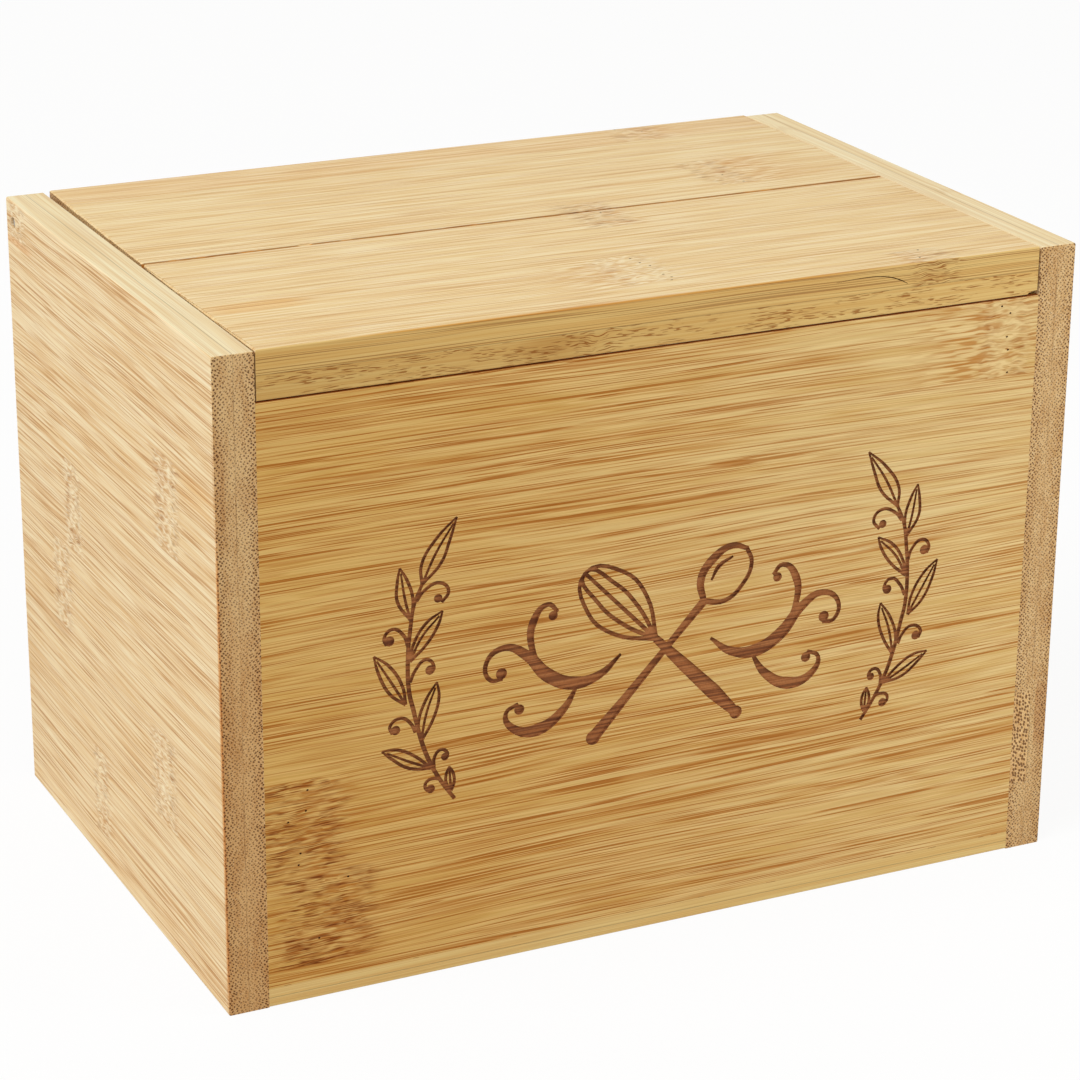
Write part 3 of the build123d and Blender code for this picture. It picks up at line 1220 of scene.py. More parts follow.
@dataclass
class Engraver:
    """Turns strokes and spots into one solid that cuts them into a face that looks to the front.

    Attributes:
        face_y: Where the face is.
        depth: How deep the cuts are.
        proud: How far the cutter stands out of the face.
        step: How much deeper each cut is than the one before, so that no two floors lie in one plane.
    """

    face_y: float
    depth: float = 0.38
    proud: float = 0.4
    step: float = 0.0015
    made: list[bpy.types.Object] = field(default_factory=list)

    MERGE = 0.002
    SPOT_SIDES = 20

    def reach(self) -> tuple[float, float]:
        """Give the Y where the next cutter starts, in front of the face, and its length."""
        extra = self.step * len(self.made)
        return self.face_y - self.proud - extra, self.proud + self.depth + 2 * extra

    def add(self, cuts: Sequence[Union[Stroke, Spot]]) -> None:
        """Make the cutter of each stroke and spot."""
        for cut in cuts:
            self.made.append(self.stroke(cut) if isinstance(cut, Stroke) else self.spot(cut))

    def stroke(self, stroke: Stroke) -> bpy.types.Object:
        """Sweep a ribbon along the stroke and give it depth."""
        start, length = self.reach()
        data = bpy.data.curves.new("stroke", "CURVE")
        data.dimensions = "3D"
        data.twist_mode = "Z_UP"
        data.resolution_u = stroke.fineness
        data.extrude = 1.0
        spline = data.splines.new("BEZIER")
        spline.bezier_points.add(len(stroke.points) - 1)
        for index, (knot, (x, z)) in enumerate(zip(spline.bezier_points, stroke.points)):
            knot.co = (x * MM, z * MM, 0)
            knot.handle_left_type = knot.handle_right_type = "AUTO"
            knot.radius = stroke.width_at(index) / 2 * MM
            knot.tilt = math.pi / 2
        ribbon = bpy.data.objects.new("stroke", data)
        bpy.context.scene.collection.objects.link(ribbon)
        pick(ribbon)
        bpy.ops.object.convert(target="MESH")
        ribbon.rotation_euler.x = math.pi / 2
        ribbon.location.y = start * MM
        settle(ribbon)
        bpy.ops.object.mode_set(mode="EDIT")
        bpy.ops.mesh.select_all(action="SELECT")
        bpy.ops.mesh.remove_doubles(threshold=self.MERGE * MM)
        bpy.ops.mesh.extrude_region_move(TRANSFORM_OT_translate={"value": (0, length * MM, 0)})
        bpy.ops.mesh.select_all(action="SELECT")
        bpy.ops.mesh.normals_make_consistent(inside=False)
        bpy.ops.object.mode_set(mode="OBJECT")
        return ribbon

    def spot(self, spot: Spot) -> bpy.types.Object:
        """Stand a short round cutter on the spot."""
        start, length = self.reach()
        deselect()
        bpy.ops.mesh.primitive_cylinder_add(
            vertices=self.SPOT_SIDES,
            radius=spot.radius * MM,
            depth=length * MM,
            location=(spot.centre[0] * MM, (start + length / 2) * MM, spot.centre[1] * MM),
            rotation=(math.pi / 2, 0, 0),
        )
        cutter = bpy.context.object
        settle(cutter)
        return cutter

    def cutter(self, material: bpy.types.Material) -> bpy.types.Object:
        """Join all that was made into one cutter of one material."""
        whole = joined(self.made)
        whole.data.materials.clear()
        whole.data.materials.append(material)
        return whole


# --------------------------------------------------------------------------------------------------
# The engraving


@dataclass(frozen=True)
class Leaf:
    """A pointed leaf in outline with a rib, from its base to its tip.

    Attributes:
        base: Where it leaves the stem.
        tip: Its point.
        first_side: Two points on one side.
        second_side: Two points on the other side.
        rib: A point on the rib.
    """

    base: Point
    tip: Point
    first_side: tuple[Point, Point]
    second_side: tuple[Point, Point]
    rib: Point

    OUTLINE = 0.66
    RIB = 0.56
    FINE_TIP = 0.4
    RIB_REACH = 0.9  # of the way to the tip

    def strokes(self) -> list[Stroke]:
        """Give the strokes of the outline and the rib."""
        widths = (self.OUTLINE, self.OUTLINE, self.OUTLINE, self.FINE_TIP)
        sides = (self.first_side, self.second_side)
        outline = [Stroke((self.base, *side, self.tip), widths) for side in sides]
        reach = self.RIB_REACH
        rib_end = tuple(tip * reach + base * (1 - reach) for tip, base in zip(self.tip, self.base))
        return [*outline, Stroke((self.base, self.rib, rib_end), (self.RIB, self.RIB, self.FINE_TIP))]


@dataclass(frozen=True)
class Curl:
    """A tendril that ends in a ball."""

    points: tuple[Point, ...]
    ball: Point
    radius: float

    WIDTH = 0.7

    def cuts(self) -> list[Union[Stroke, Spot]]:
        """Give the tendril's stroke and its ball."""
        return [Stroke(self.points, (self.WIDTH, self.WIDTH)), Spot(self.ball, self.radius)]


@dataclass(frozen=True)
class Sprig:
    """The leafy sprig on the left of the front. The right one is its mirror image."""

    stem: tuple[Point, ...] = (
        (-49.5, 79.5), (-51.1, 75.8), (-51.9, 71.0), (-52.4, 65.6), (-52.2, 58.6), (-51.4, 55.1),
        (-49.9, 48.8), (-48.1, 43.8), (-45.5, 39.0), (-43.1, 35.5),
    )  # fmt: skip
    leaves: tuple[Leaf, ...] = (
        Leaf((-49.5, 79.5), (-42.5, 91.6),
             ((-49.6, 83.3), (-46.5, 88.1)), ((-45.7, 83.1), (-43.9, 87.4)), (-46.7, 85.2)),
        Leaf((-51.8, 72.9), (-53.9, 83.4),
             ((-54.4, 76.9), (-54.4, 80.6)), ((-51.3, 76.7), (-52.5, 80.9)), (-52.8, 76.7)),
        Leaf((-52.0, 64.7), (-45.4, 73.7),
             ((-51.2, 68.2), (-48.6, 71.9)), ((-48.5, 67.8), (-46.2, 71.3)), (-49.6, 69.2)),
        Leaf((-52.9, 56.3), (-59.2, 67.0),
             ((-53.5, 60.0), (-56.2, 64.6)), ((-56.0, 58.9), (-58.3, 63.5)), (-55.5, 60.8)),
        Leaf((-49.9, 48.3), (-46.6, 59.8),
             ((-50.4, 52.0), (-48.9, 56.5)), ((-47.4, 52.5), (-46.2, 56.8)), (-48.7, 54.1)),
        Leaf((-47.9, 42.6), (-57.8, 47.8),
             ((-51.1, 45.6), (-54.8, 47.6)), ((-52.3, 43.4), (-55.9, 46.0)), (-52.4, 44.8)),
        Leaf((-43.8, 37.2), (-44.2, 42.3),
             ((-44.8, 38.9), (-44.8, 40.8)), ((-43.2, 38.9), (-43.4, 40.8)), (-44.0, 39.5)),
    )  # fmt: skip
    curls: tuple[Curl, ...] = (
        Curl(((-50.6, 76.4), (-49.0, 78.3), (-45.9, 79.3), (-44.2, 77.4), (-45.6, 75.4)),
             (-46.3, 76.3), 0.85),
        Curl(((-52.4, 67.8), (-53.2, 70.1), (-55.5, 71.7), (-57.1, 70.1), (-56.6, 68.7)),
             (-56.05, 69.45), 1.0),
        Curl(((-52.0, 60.6), (-50.9, 62.9), (-48.7, 64.6), (-47.2, 62.9), (-47.6, 61.8)),
             (-48.0, 62.4), 0.95),
        Curl(((-51.0, 50.4), (-51.8, 52.2), (-53.9, 53.8), (-56.1, 52.5), (-55.6, 50.9)),
             (-55.0, 51.55), 0.95),
        Curl(((-47.3, 42.2), (-47.1, 44.9), (-45.9, 46.0), (-44.6, 45.2), (-44.6, 44.2)),
             (-45.05, 44.45), 0.8),
        Curl(((-46.1, 40.1), (-47.4, 40.4), (-48.8, 40.0), (-49.1, 38.9), (-48.4, 38.0)),
             (-48.0, 38.4), 0.9),
    )  # fmt: skip
    mirror_x: float = 0.85
    stem_widths: tuple[float, ...] = (0.7, 0.85, 0.9, 0.9, 0.75)

    def cuts(self) -> list[Union[Stroke, Spot]]:
        """Give the cuts of both sprigs."""
        left: list[Union[Stroke, Spot]] = [Stroke(self.stem, self.stem_widths, 4)]
        for leaf in self.leaves:
            left += leaf.strokes()
        for curl in self.curls:
            left += curl.cuts()
        return left + [cut.mirrored(self.mirror_x) for cut in left]


@dataclass(frozen=True)
class KitchenMotif:
    """A crossed spoon and whisk between two scrolls, in brush-like strokes."""

    centre: Point = (1.0, 58.4)
    lean: float = 44.0  # degrees of the spoon and the whisk from upright
    wire_reaches: tuple[float, ...] = (4.7, 2.2)  # how far the whisk's wires stand out to the side

    def spoon(self) -> list[Union[Stroke, Spot]]:
        """Give the spoon, which stands upright about the origin."""
        side = ((0, 11.4), (-3.7, 14.2), (-4.5, 18.6), (-3.0, 23.0), (0.2, 24.6))
        return [
            Stroke(((0, -22.0), (0, -12), (0, 0), (0, 11.8)), (2.7, 1.9, 1.45, 1.9)),
            Stroke(side, (1.3, 1.7, 1.9, 1.3, 0.9)),
            Stroke(tuple((-x, z) for x, z in side), (1.3, 1.0, 0.9, 0.9, 0.9)),
            Stroke(((-1.7, 15.4), (-2.4, 18.4), (-1.3, 21.6)), (0.5, 1.0, 0.5)),
            Spot((0, -22.0), 1.5),
        ]

    def whisk(self) -> list[Union[Stroke, Spot]]:
        """Give the whisk, which stands upright about the origin."""
        wires = []
        for side in self.wire_reaches:
            half = ((0, 3.0), (-side, 11), (-side * 1.1, 18.5), (0, 25.0))
            other_half = tuple((-x, z) for x, z in reversed(half[:-1]))
            wires.append(Stroke(half + other_half, (0.9, 0.8, 0.8, 0.8, 0.9)))
        return [
            *wires,
            Stroke(((0, 3), (0, 13), (0, 24.8)), (0.9, 0.75)),
            Stroke(((0, -22.0), (0, -15), (0, -6), (0, 3.2)), (2.0, 3.1, 2.6, 1.6)),
            Spot((0, -22.4), 1.35),
        ]

    def scroll(self) -> list[Union[Stroke, Spot]]:
        """Give the scroll on the right of the middle, about the origin."""
        return [
            Stroke(((9.6, 0.4), (14.0, -3.0), (19.6, -3.8), (25.0, -1.2), (29.4, 3.6), (34.0, 5.8),
                    (37.6, 3.4), (36.8, -0.2), (34.2, -0.4)), (0.6, 1.9, 3.0, 2.6, 1.5, 1.0, 0.9, 0.8)),
            Spot((34.5, 0.7), 1.15),
            Stroke(((18.6, -4.2), (21.8, -9.0), (27.0, -12.0), (32.0, -10.9), (33.6, -7.6), (31.0, -6.0)),
                   (0.6, 1.8, 2.6, 1.6, 0.9, 0.8)),
            Spot((30.8, -7.2), 1.05),
            Stroke(((25.6, -0.6), (28.2, 4.6), (28.0, 10.0), (25.0, 13.0), (22.9, 11.2)),
                   (0.6, 1.3, 1.7, 1.0, 0.8)),
            Spot((23.9, 10.6), 0.95),
        ]

    def cuts(self) -> list[Union[Stroke, Spot]]:
        """Give all the cuts of the motif."""
        placed: list[Union[Stroke, Spot]] = []
        for tool, angle in ((self.whisk(), self.lean), (self.spoon(), -self.lean)):
            placed += [self.place(cut, angle) for cut in tool]
        right = [self.place(cut, 0) for cut in self.scroll()]
        return placed + right + [cut.mirrored(self.centre[0]) for cut in right]

    def place(self, cut: Union[Stroke, Spot], angle: float) -> Union[Stroke, Spot]:
        """Turn a cut about the origin and move it to the motif's centre."""
        if isinstance(cut, Stroke):
            return cut.turned(angle, self.centre)
        centre = Stroke((cut.centre, cut.centre), (1, 1)).turned(angle, self.centre).points[0]
        return Spot(centre, cut.radius)


# --------------------------------------------------------------------------------------------------
# The boards


BEYOND = 100.0  # a place past the ends of every board
LONG_FADE = 155.0  # a patch's soft edge that is about as long as the box

PALE_BAMBOO = BambooColours(
    pale=srgb(239, 218, 176),
    warm=srgb(228, 194, 140),
    line=srgb(202, 150, 90),
    end_ground=srgb(217, 180, 125),
    end_warm=srgb(192, 145, 88),
    end_dot=srgb(82, 40, 14),
)
LID_BAMBOO = BambooColours(
    pale=srgb(236, 215, 165),
    warm=srgb(226, 194, 136),
    line=srgb(206, 154, 92),
)
GOLDEN_BAMBOO = BambooColours(
    pale=srgb(225, 198, 140),
    warm=srgb(208, 168, 95),
    line=srgb(184, 120, 48),
    dash=(0.36, 0.16, 0.06),
    fleck=srgb(238, 210, 150),
    smudge=(0.6, 0.34, 0.18),
)


@dataclass
class Carcass:
    """The boards, dowels and pins that stay put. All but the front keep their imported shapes."""

    left: str = "left_end_panel"
    right: str = "right_end_panel"
    back: str = "back_panel"
    base: str = "base_board"

    def dress(self, node: str, material: bpy.types.Material) -> None:
        """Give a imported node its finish."""
        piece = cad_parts[node]
        piece.data.materials.clear()
        piece.data.materials.append(material)
        LOG.info("%s wears %s", node, material.name)

    def end_board(self, node: str, seed: int, **marks: Any) -> BambooBoard:
        """Describe an upright end panel's board, whose fibres run from front to back."""
        low, high = box_mm(node)
        return BambooBoard(
            name=node,
            along=Axis.Y,
            across=Axis.Z,
            through=Axis.X,
            seam=(low.x + high.x) / 2,
            strip_start=6.2,
            half_length=high.y,
            colours=PALE_BAMBOO,
            seed=seed,
            breadth=(low.z, high.z),
            edge_lines=(0.06, 0.06),
            edge_tone=(1.0, 1.07, 1.12),
            edge_dashes=0.0,
            lines=1.25,
            **marks,
        )

    def left_board(self) -> BambooBoard:
        """Describe the left end panel's board, with its knuckles where they show."""
        low, high = box_mm(self.left)
        outer = (low.x - 1, (low.x + high.x) / 2)
        knuckles = tuple(
            Knuckle(along, across, outer, dark=0.45, pale=0.85, pits=0.1, tail=tail)
            for along, across, tail in (
                ((-39.9, -26.6), (82.7, 101.9), 12),
                ((17.9, 27.9), (63.5, 82.7), 9),
                ((26.8, 37.9), (44.3, 63.5), -8),
                ((-34.3, -19.9), (25.3, 44.3), 10),
                ((7.9, 16.8), (6.2, 25.3), -9),
                ((47.0, 58.0), (119.0, 128.0), 0),
            )
        )
        front, side = low.y - 1, low.x - 1
        darker_foot = Tint(
            (front, low.z - 20, side), (front + 2, 88, high.x), (0.92, 0.84, 0.76), 1.0, 0.3, fade=24
        )
        worn_edge = Tint(
            (front, low.z - 1, side), (front + 1.6, 99, low.x + 0.42), (0.9, 0.62, 0.4), 0.8, 0.3, fade=12
        )
        tints = (
            darker_foot,
            Tint((front, 92, side), (front + 2, 118, low.x + 2), (0.84, 0.72, 0.62), 0.6, 0.3, fade=8),
            worn_edge,
            Tint((low.y - 5, 95.5, side), (-36, 102.5, low.x + 1), (0.97, 0.85, 0.68), 0.6, 12),
            Tint((40, 118.5, side), (70, 121, low.x + 1), (0.9, 0.68, 0.5), 0.8, 8),
        )
        return self.end_board(self.left, 3, knuckles=knuckles, shown=outer, tints=tints)

    def right_board(self) -> BambooBoard:
        """Describe the right end panel's board."""
        low, high = box_mm(self.right)
        middle = (low.x + high.x) / 2
        front = low.y - 1
        tints = (
            Tint((front, 14, low.x - 1), (front + 2, 35, middle), (1.1, 1.08, 1.05), 1.0, 0.3, fade=1),
            Tint((front, 20, middle + 1), (front + 2, 39, high.x + 1), (0.76, 0.6, 0.5), 0.7, 0.3, fade=5),
        )
        return self.end_board(self.right, 11, tints=tints, coarse=(((14, 35), (low.x - 1, middle)),))

    def back_board(self) -> BambooBoard:
        """Describe the back panel's board."""
        low, high = box_mm(self.back)
        return BambooBoard(
            name="back_board",
            along=Axis.X,
            across=Axis.Z,
            through=Axis.Y,
            seam=(low.y + high.y) / 2,
            strip_start=11.0,
            half_length=high.x,
            colours=GOLDEN_BAMBOO,
            seed=5,
            breadth=(low.z, high.z),
        )

    def base_board(self) -> BambooBoard:
        """Describe the base's board."""
        low, high = box_mm(self.base)
        return BambooBoard(
            name="base",
            along=Axis.X,
            across=Axis.Y,
            through=Axis.Z,
            seam=(low.z + high.z) / 2,
            strip_start=-55.0,
            half_length=high.x,
            colours=LID_BAMBOO,
            seed=8,
            breadth=(low.y, high.y),
            edge_lines=(0.1, 0.1),
            edge_tone=(0.9, 0.83, 0.63),
            edge_dashes=0.0,
            loose_knuckles=False,
        )

    def build(self) -> None:
        """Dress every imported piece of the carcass."""
        self.dress(self.left, self.left_board().material(Cut.BOTH))
        self.dress(self.right, self.right_board().material(Cut.BOTH))
        self.dress(self.back, self.back_board().material(Cut.LONG))
        self.dress(self.base, self.base_board().material(Cut.LONG))
        steel = HingeSteel().material()
        for node in ("left_hinge_pin", "right_hinge_pin"):
            self.dress(node, steel)
        dowel = DowelWood().material()
        for node in sorted(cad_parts):
            if node.endswith("_dowels"):
                self.dress(node, dowel)


@dataclass
class EngravedFront:
    """The front panel with its burnt engraving."""

    node: str = "front_panel"
    name: str = "engraved_front_panel"
    depth: float = 0.38
    sprig: Sprig = Sprig()
    motif: KitchenMotif = KitchenMotif()
    pits: tuple[Point, ...] = (
        (74.7, 115.6), (74.2, 110.9), (74.6, 108.2), (74.7, 103.6), (72.7, 117.2),
        (-72.6, 42.9), (-73.0, 38.8), (-76.5, 37.1), (-74.2, 30.4), (-74.6, 28.1), (-70.8, 12.3),
        (-64.8, 23.8),
    )  # fmt: skip
    pit_size: tuple[float, float, float] = (0.24, 0.3, 0.19)

    def board(self) -> BambooBoard:
        """Describe the front's board, with its knuckles where they show."""
        low, high = box_mm(self.node)
        seam = (low.y + high.y) / 2
        front = low.y - 1
        outer = (front, seam)
        # Painted shade: the front panel's top, and the top of its face, turn deep brown where the gap under the
        # lid lies in shade.
        painted_gap_shade = Tint(
            low=(-BEYOND, high.z - 0.14, front),
            high=(BEYOND, high.z + 1, low.y + 1.2),
            colour=(0.56, 0.25, 0.13),
            strength=1.0,
            soft=0.3,
            fade=0.1,
        )
        knuckles = (
            Knuckle((67.7, 79.9), (102.5, 121.7), outer, dark=0.38, pale=0.8, pits=0.0, tail=-26),
            Knuckle((-82.5, -65.0), (26.0, 45.3), outer, dark=1.0, pale=0.25, pits=0.0, tail=14),
            Knuckle((-79.5, -59.5), (6.7, 26.0), outer, dark=1.0, pale=0.2, pits=0.0, tail=12),
        )
        return BambooBoard(
            name="front_board",
            along=Axis.X,
            across=Axis.Z,
            through=Axis.Y,
            seam=seam,
            strip_start=6.7,
            half_length=high.x,
            colours=GOLDEN_BAMBOO,
            seed=2,
            knuckles=knuckles,
            shown=outer,
            tints=(
                Tint((-4 * BEYOND, -20, front), (75, 140, seam), (0.9, 0.79, 0.58), 1.0, LONG_FADE),
                Tint((-10, 66, front), (4 * BEYOND, 170, seam), (1.0, 1.01, 1.03), 1.0, 60, calm=0.28, fade=25),
                painted_gap_shade,
            ),
            lines=1.45,
            breadth=(low.z, high.z),
        )

    def build(self) -> None:
        """Cut the engraving into a copy of the front panel."""
        low, high = box_mm(self.node)
        board = self.board()
        piece = merged_copy(self.node, self.name)
        piece.data.materials.append(board.material(Cut.LONG))
        engraver = Engraver(face_y=low.y, depth=self.depth)
        engraver.add(self.sprig.cuts())
        engraver.add(self.motif.cuts())
        burnt = engraver.cutter(board.burnt_material(self.depth, low.y))
        # The pits' insides are painted dark as their shade.
        hollow_shade = HollowShade().material()
        pits = [Dent((x, low.y, z), self.pit_size).cutter(hollow_shade) for x, z in self.pits]
        carve(piece, joined([burnt, *pits]))
        smooth(piece)
        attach(piece, "carcass")
        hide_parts(self.node)
        LOG.info("%s has %d faces", piece.name, len(piece.data.polygons))


@dataclass
class Lid:
    """The lid board with its card slot."""

    node: str = "lid"
    name: str = "slotted_lid"
    slot_y: float = -0.2
    slot_half: float = 0.5
    chips: int = 16
    chip_sizes: tuple[Span, Span, Span] = ((0.6, 2.4), (0.1, 0.26), (0.14, 0.3))
    chip_reach: float = 78.0
    torn_corner: tuple[float, float, float] = (2.3, 1.4, 0.8)
    nick: Dent = Dent((-47.7, 0.3, 0.0), (1.7, 0.45, 0.4))  # its height is counted from the lid's face
    split_depth: float = 0.35
    end_normal: float = 0.9
    pits: tuple[Point, ...] = (
        (4.7, -34.2), (5.1, -37.5), (5.9, -40.1), (5.5, -46.3), (6.1, -48.5), (5.2, -50.3),
        (52.4, 8.0), (50.9, 14.4),
    )  # fmt: skip
    pit_size: tuple[float, float, float] = (0.28, 0.16, 0.3)
    split: Stroke = Stroke(((35.5, 126.3), (41.0, 126.6), (46.0, 126.3), (49.6, 125.2), (51.2, 124.3)),
                           (0.05, 0.1, 0.16, 0.2, 0.06))

    def splinters(self, top: float, right: float, front: float, bottom: float) -> list[Dent]:
        """Give the lost splinters along the slot's edges and at the lid's lower right corner.

        Args:
            top: The lid's upper face.
            right: Its right end.
            front: Its front edge.
            bottom: Its underside.

        Returns:
            The dents.
        """
        nick_x, nick_y, nick_z = self.nick.centre
        dents = [
            Dent((right, front, bottom), self.torn_corner),
            Dent((nick_x, nick_y, top + nick_z), self.nick.size),
        ]
        for _ in range(self.chips):
            edge = self.slot_y + random.choice((-1, 1)) * self.slot_half
            size = tuple(random.uniform(*limits) for limits in self.chip_sizes)
            dents.append(Dent((random.uniform(-self.chip_reach, self.chip_reach), edge, top), size))
        return dents

    def board(self) -> BambooBoard:
        """Describe the lid's board, with its knuckles where they show."""
        low, high = box_mm(self.node)
        seam = (low.z + high.z) / 2
        upper = (seam, high.z + 1)
        lower = (low.z - 1, seam)
        knuckles = (
            Knuckle((43.8, 56.5), (47.0, 59.2), upper, dark=0.45, pale=0.5, pits=0.1, tail=14),
            Knuckle((45.4, 55.4), (6.5, 27.0), upper, dark=0.6, pale=0.6, pits=0.0, tail=24),
            Knuckle((6.5, 18.8), (-13.0, 6.5), upper, dark=0.7, pale=0.4, pits=0.2, tail=10),
            Knuckle((-5.0, 8.8), (-50.8, -32.0), upper, dark=0.3, pale=0.9, pits=0.0, tail=-22),
            Knuckle((52.0, 63.0), (-59.5, -50.8), upper, dark=0.6, pale=0.5, pits=0.3, tail=-12),
            Knuckle((-19.0, -9.0), (-59.5, -50.8), lower, dark=0.4, pale=0.4, pits=0.2),
        )
        front, below, above, ends = low.y - 1, low.z - 1, high.z + 1, BEYOND
        slot_low, slot_high = self.slot_y - 0.8, self.slot_y + 0.8
        # Painted shade: the card slot's walls are darkened to a warm brown where the slot is in shade.
        slot_wall_shade = Tint(
            (-ends, slot_low, low.z), (ends, slot_high, high.z - 0.02), (0.9, 0.52, 0.2), 1.0, 0.2, fade=0.2
        )
        tints = (
            slot_wall_shade,
            Tint((-70, front, high.z - 0.45), (50, low.y + 0.5, above), (0.84, 0.6, 0.34), 0.9, 20),
            Tint((-4 * ends, front, below), (75, low.y + 0.3, high.z - 0.2), (0.93, 0.9, 0.84), 1.0, LONG_FADE),
            Tint((-34, front, below), (-13, low.y + 0.5, seam), (0.78, 0.66, 0.52), 0.6, 9),
            Tint((-ends, 47, seam), (ends, high.y + 1, above), (0.98, 0.93, 0.9), 1.0, 1.0),
            Tint((-ends, 46.6, seam), (20, 47.4, above), (0.88, 0.68, 0.46), 0.9, 40),
            Tint((42, 5.7, seam), (79, 26.8, above), (0.95, 0.88, 0.8), 0.5, 10),
            Tint((-4 * ends, front, below), (75, low.y + 0.3, seam), (0.9, 0.87, 0.83), 1.0, LONG_FADE),
            Tint((-84, -38, seam), (-58, -31, above), (0.95, 0.8, 0.6), 0.8, 8),
        )
        return BambooBoard(
            name="lid_board",
            along=Axis.X,
            across=Axis.Y,
            through=Axis.Z,
            seam=seam,
            strip_start=-50.8,
            half_length=high.x,
            colours=LID_BAMBOO,
            seed=6,
            knuckles=knuckles,
            shown=upper,
            tints=tints,
            lines=0.95,
            breadth=(low.y, high.y),
            edge_lines=(0.08, 1.0),
            edge_tone=(0.86, 0.74, 0.5),
        )

    def build(self) -> None:
        """Dress a copy of the lid, with end grain on its two ends."""
        board = self.board()
        piece = merged_copy(self.node, self.name)
        piece.data.materials.append(board.material(Cut.LONG))
        piece.data.materials.append(board.material(Cut.END))
        for face in piece.data.polygons:
            face.material_index = 1 if abs(face.normal.x) > self.end_normal else 0
        low, high = box_mm(self.node)
        # The pits and the split are painted dark as their shade.
        fresh, hollow_shade = piece.data.materials[0], HollowShade().material()
        splinters = self.splinters(high.z, high.x, low.y, low.z)
        cutters = [dent.cutter(fresh) for dent in splinters]
        cutters += [Dent((x, y, high.z), self.pit_size).cutter(hollow_shade) for x, y in self.pits]
        engraver = Engraver(face_y=low.y, depth=self.split_depth)
        engraver.add([self.split])
        cutters.append(engraver.cutter(hollow_shade))
        carve(piece, joined(cutters))
        smooth(piece)
        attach(piece, "lid")
        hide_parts(self.node)
        LOG.info("%s has %d faces", piece.name, len(piece.data.polygons))


# --------------------------------------------------------------------------------------------------
# Studio and camera


@dataclass(frozen=True)
class Lamp:
    """A square soft lamp that points at the middle of the box.

    Attributes:
        name: The lamp's name.
        place: Where it stands, in metres.
        size: The side of its square, in metres.
        power: Its power in watts.
    """

    name: str
    place: tuple[float, float, float]
    size: float
    power: float


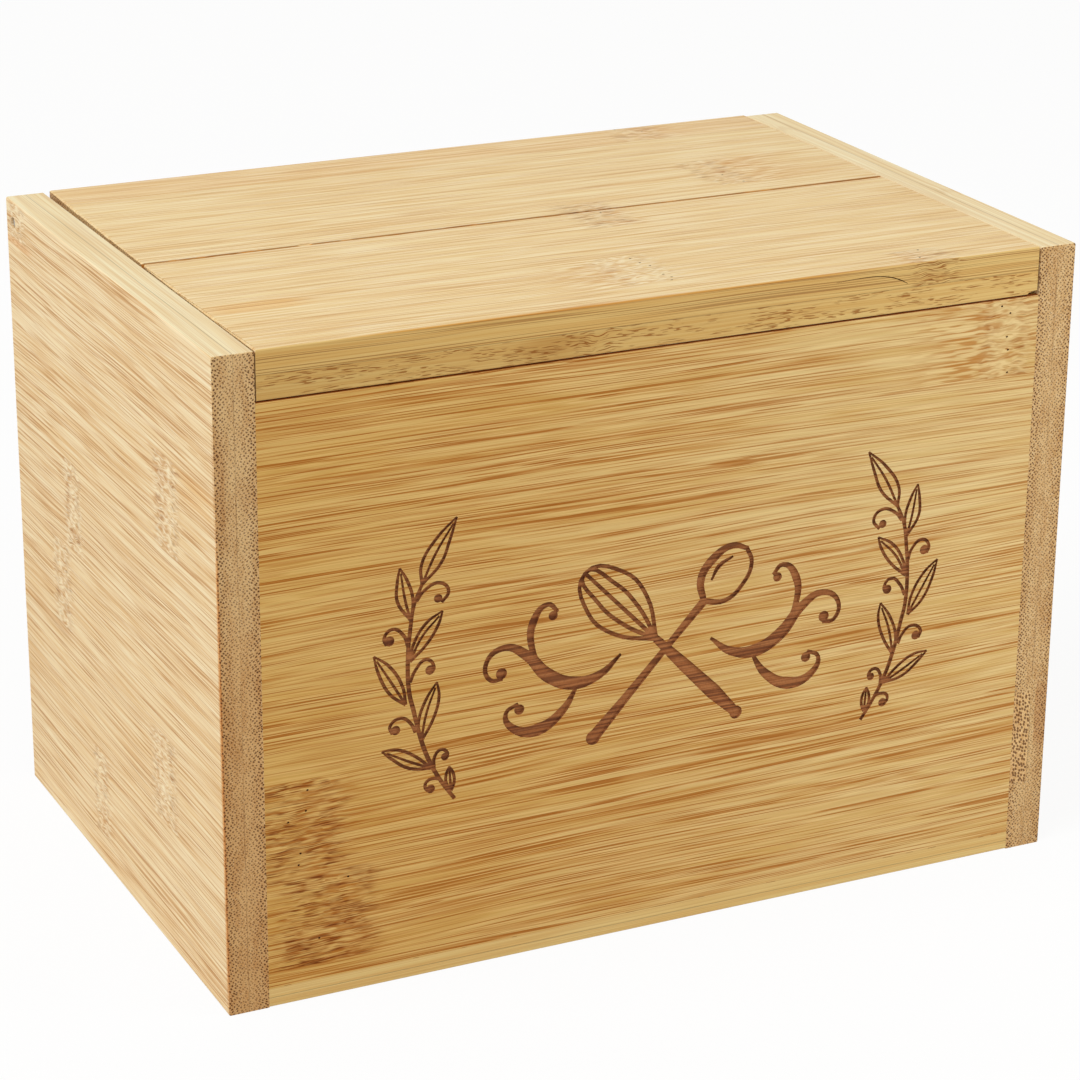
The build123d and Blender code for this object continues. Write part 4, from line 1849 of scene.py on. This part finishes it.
@dataclass
class Studio:
    """A plain pale floor, soft lamps and a white surround."""

    floor_half: float = 6.0
    floor_squares: int = 8
    paper: Colour = srgb(236, 235, 233)
    tooth_size: float = 1.5
    paper_glow: Span = (0.9, 0.02)  # how white the floor is to the camera, and how much its tooth adds
    surround: float = 0.53
    surround_colour: Colour = (1.0, 0.985, 0.96)
    white: Colour = (1.0, 1.0, 1.0)
    aim: tuple[float, float, float] = (0.0, 0.0, 0.06)
    lamps: tuple[Lamp, ...] = (
        Lamp("key", (-1.15, -0.35, 1.55), 1.2, 23.0),
        Lamp("fill", (0.35, -0.32, 0.2), 0.2, 0.5),
    )

    def seen_white(self, sheet: NodeSheet) -> Value:
        """Give 1 for rays that come from the camera, a mirror or through glass."""
        path = sheet.node("ShaderNodeLightPath", {}, {})
        seen = Value(sheet, path.outputs["Is Camera Ray"]) + Value(sheet, path.outputs["Is Glossy Ray"])
        return (seen + Value(sheet, path.outputs["Is Transmission Ray"])).least(1.0)

    def floor(self) -> None:
        """Lay the floor, which stays white to the camera but keeps the box's shadow."""
        deselect()
        squares = {"x_subdivisions": self.floor_squares, "y_subdivisions": self.floor_squares}
        bpy.ops.mesh.primitive_grid_add(size=2 * self.floor_half, **squares)
        floor = bpy.context.object
        floor.name = "floor"
        material, sheet = new_sheet("studio_paper")
        x, y, z = sheet.place()
        tooth = sheet.noise(x / self.tooth_size, y / self.tooth_size, z, 2.0)
        paper = sheet.node("ShaderNodeBsdfDiffuse", {}, {"Color": self.paper, "Roughness": 0.5})
        glow = sheet.node("ShaderNodeEmission", {}, {"Color": self.white, "Strength": 1.0})
        share = self.seen_white(sheet) * (self.paper_glow[0] + tooth * self.paper_glow[1])
        mixed = sheet.node("ShaderNodeMixShader", {}, {0: share, 1: paper.outputs[0], 2: glow.outputs[0]})
        sheet.node("ShaderNodeOutputMaterial", {}, {"Surface": mixed.outputs[0]})
        floor.data.materials.append(material)

    def surrounding(self) -> None:
        """Light from all round, which is white where it is seen."""
        world = bpy.data.worlds.new("surround")
        world.use_nodes = True
        bpy.context.scene.world = world
        sheet = NodeSheet(world.node_tree)
        seen = self.seen_white(sheet)
        inputs = {"Color": self.surround_colour, "Strength": self.surround}
        light = sheet.node("ShaderNodeBackground", {}, inputs)
        white = sheet.node("ShaderNodeBackground", {}, {"Color": self.white, "Strength": 1.0})
        mixed = sheet.node("ShaderNodeMixShader", {}, {0: seen, 1: light.outputs[0], 2: white.outputs[0]})
        sheet.node("ShaderNodeOutputWorld", {}, {"Surface": mixed.outputs[0]})

    def hang(self, lamp: Lamp) -> None:
        """Hang one lamp and aim it."""
        deselect()
        bpy.ops.object.light_add(type="AREA", location=lamp.place)
        light = bpy.context.object
        light.name = lamp.name
        light.data.size = lamp.size
        light.data.energy = lamp.power
        light.visible_camera = False
        aim = Vector(self.aim) - Vector(lamp.place)
        light.rotation_euler = aim.to_track_quat("-Z", "Y").to_euler()

    def build(self) -> None:
        """Set up the floor, the surround, the lamps and the view's colours."""
        self.floor()
        self.surrounding()
        for lamp in self.lamps:
            self.hang(lamp)
        bpy.context.scene.view_settings.view_transform = "Standard"
        LOG.info("studio has %d lamps", len(self.lamps))


@dataclass(frozen=True)
class PhotoCamera:
    """The camera where the photograph was taken from."""

    place: tuple[float, float, float] = (-0.2803, -0.5877, 0.3048)
    heading: float = -25.71
    pitch: float = 69.42
    roll: float = 0.41
    lens: float = 113.39
    sensor: float = 36.0
    near: float = 0.01

    def build(self) -> None:
        """Add the camera and make it the scene's own."""
        deselect()
        bpy.ops.object.camera_add(location=self.place)
        camera = bpy.context.object
        camera.name = "photo_camera"
        turn = Matrix.Rotation(math.radians(self.heading), 3, "Z")
        turn = turn @ Matrix.Rotation(math.radians(self.pitch), 3, "X")
        turn = turn @ Matrix.Rotation(math.radians(self.roll), 3, "Z")
        camera.rotation_euler = turn.to_euler()
        camera.data.lens = self.lens
        camera.data.sensor_width = self.sensor
        camera.data.sensor_fit = "HORIZONTAL"
        camera.data.clip_start = self.near
        bpy.context.scene.camera = camera


def main() -> None:
    """Build the box's looks and the studio around it."""
    logging.basicConfig(level=logging.INFO, format="%(name)s: %(message)s")
    random.seed(7)
    PhotoCamera().build()
    Studio().build()
    Carcass().build()
    EngravedFront().build()
    Lid().build()
    deselect()


if __name__ == "__main__":
    main()
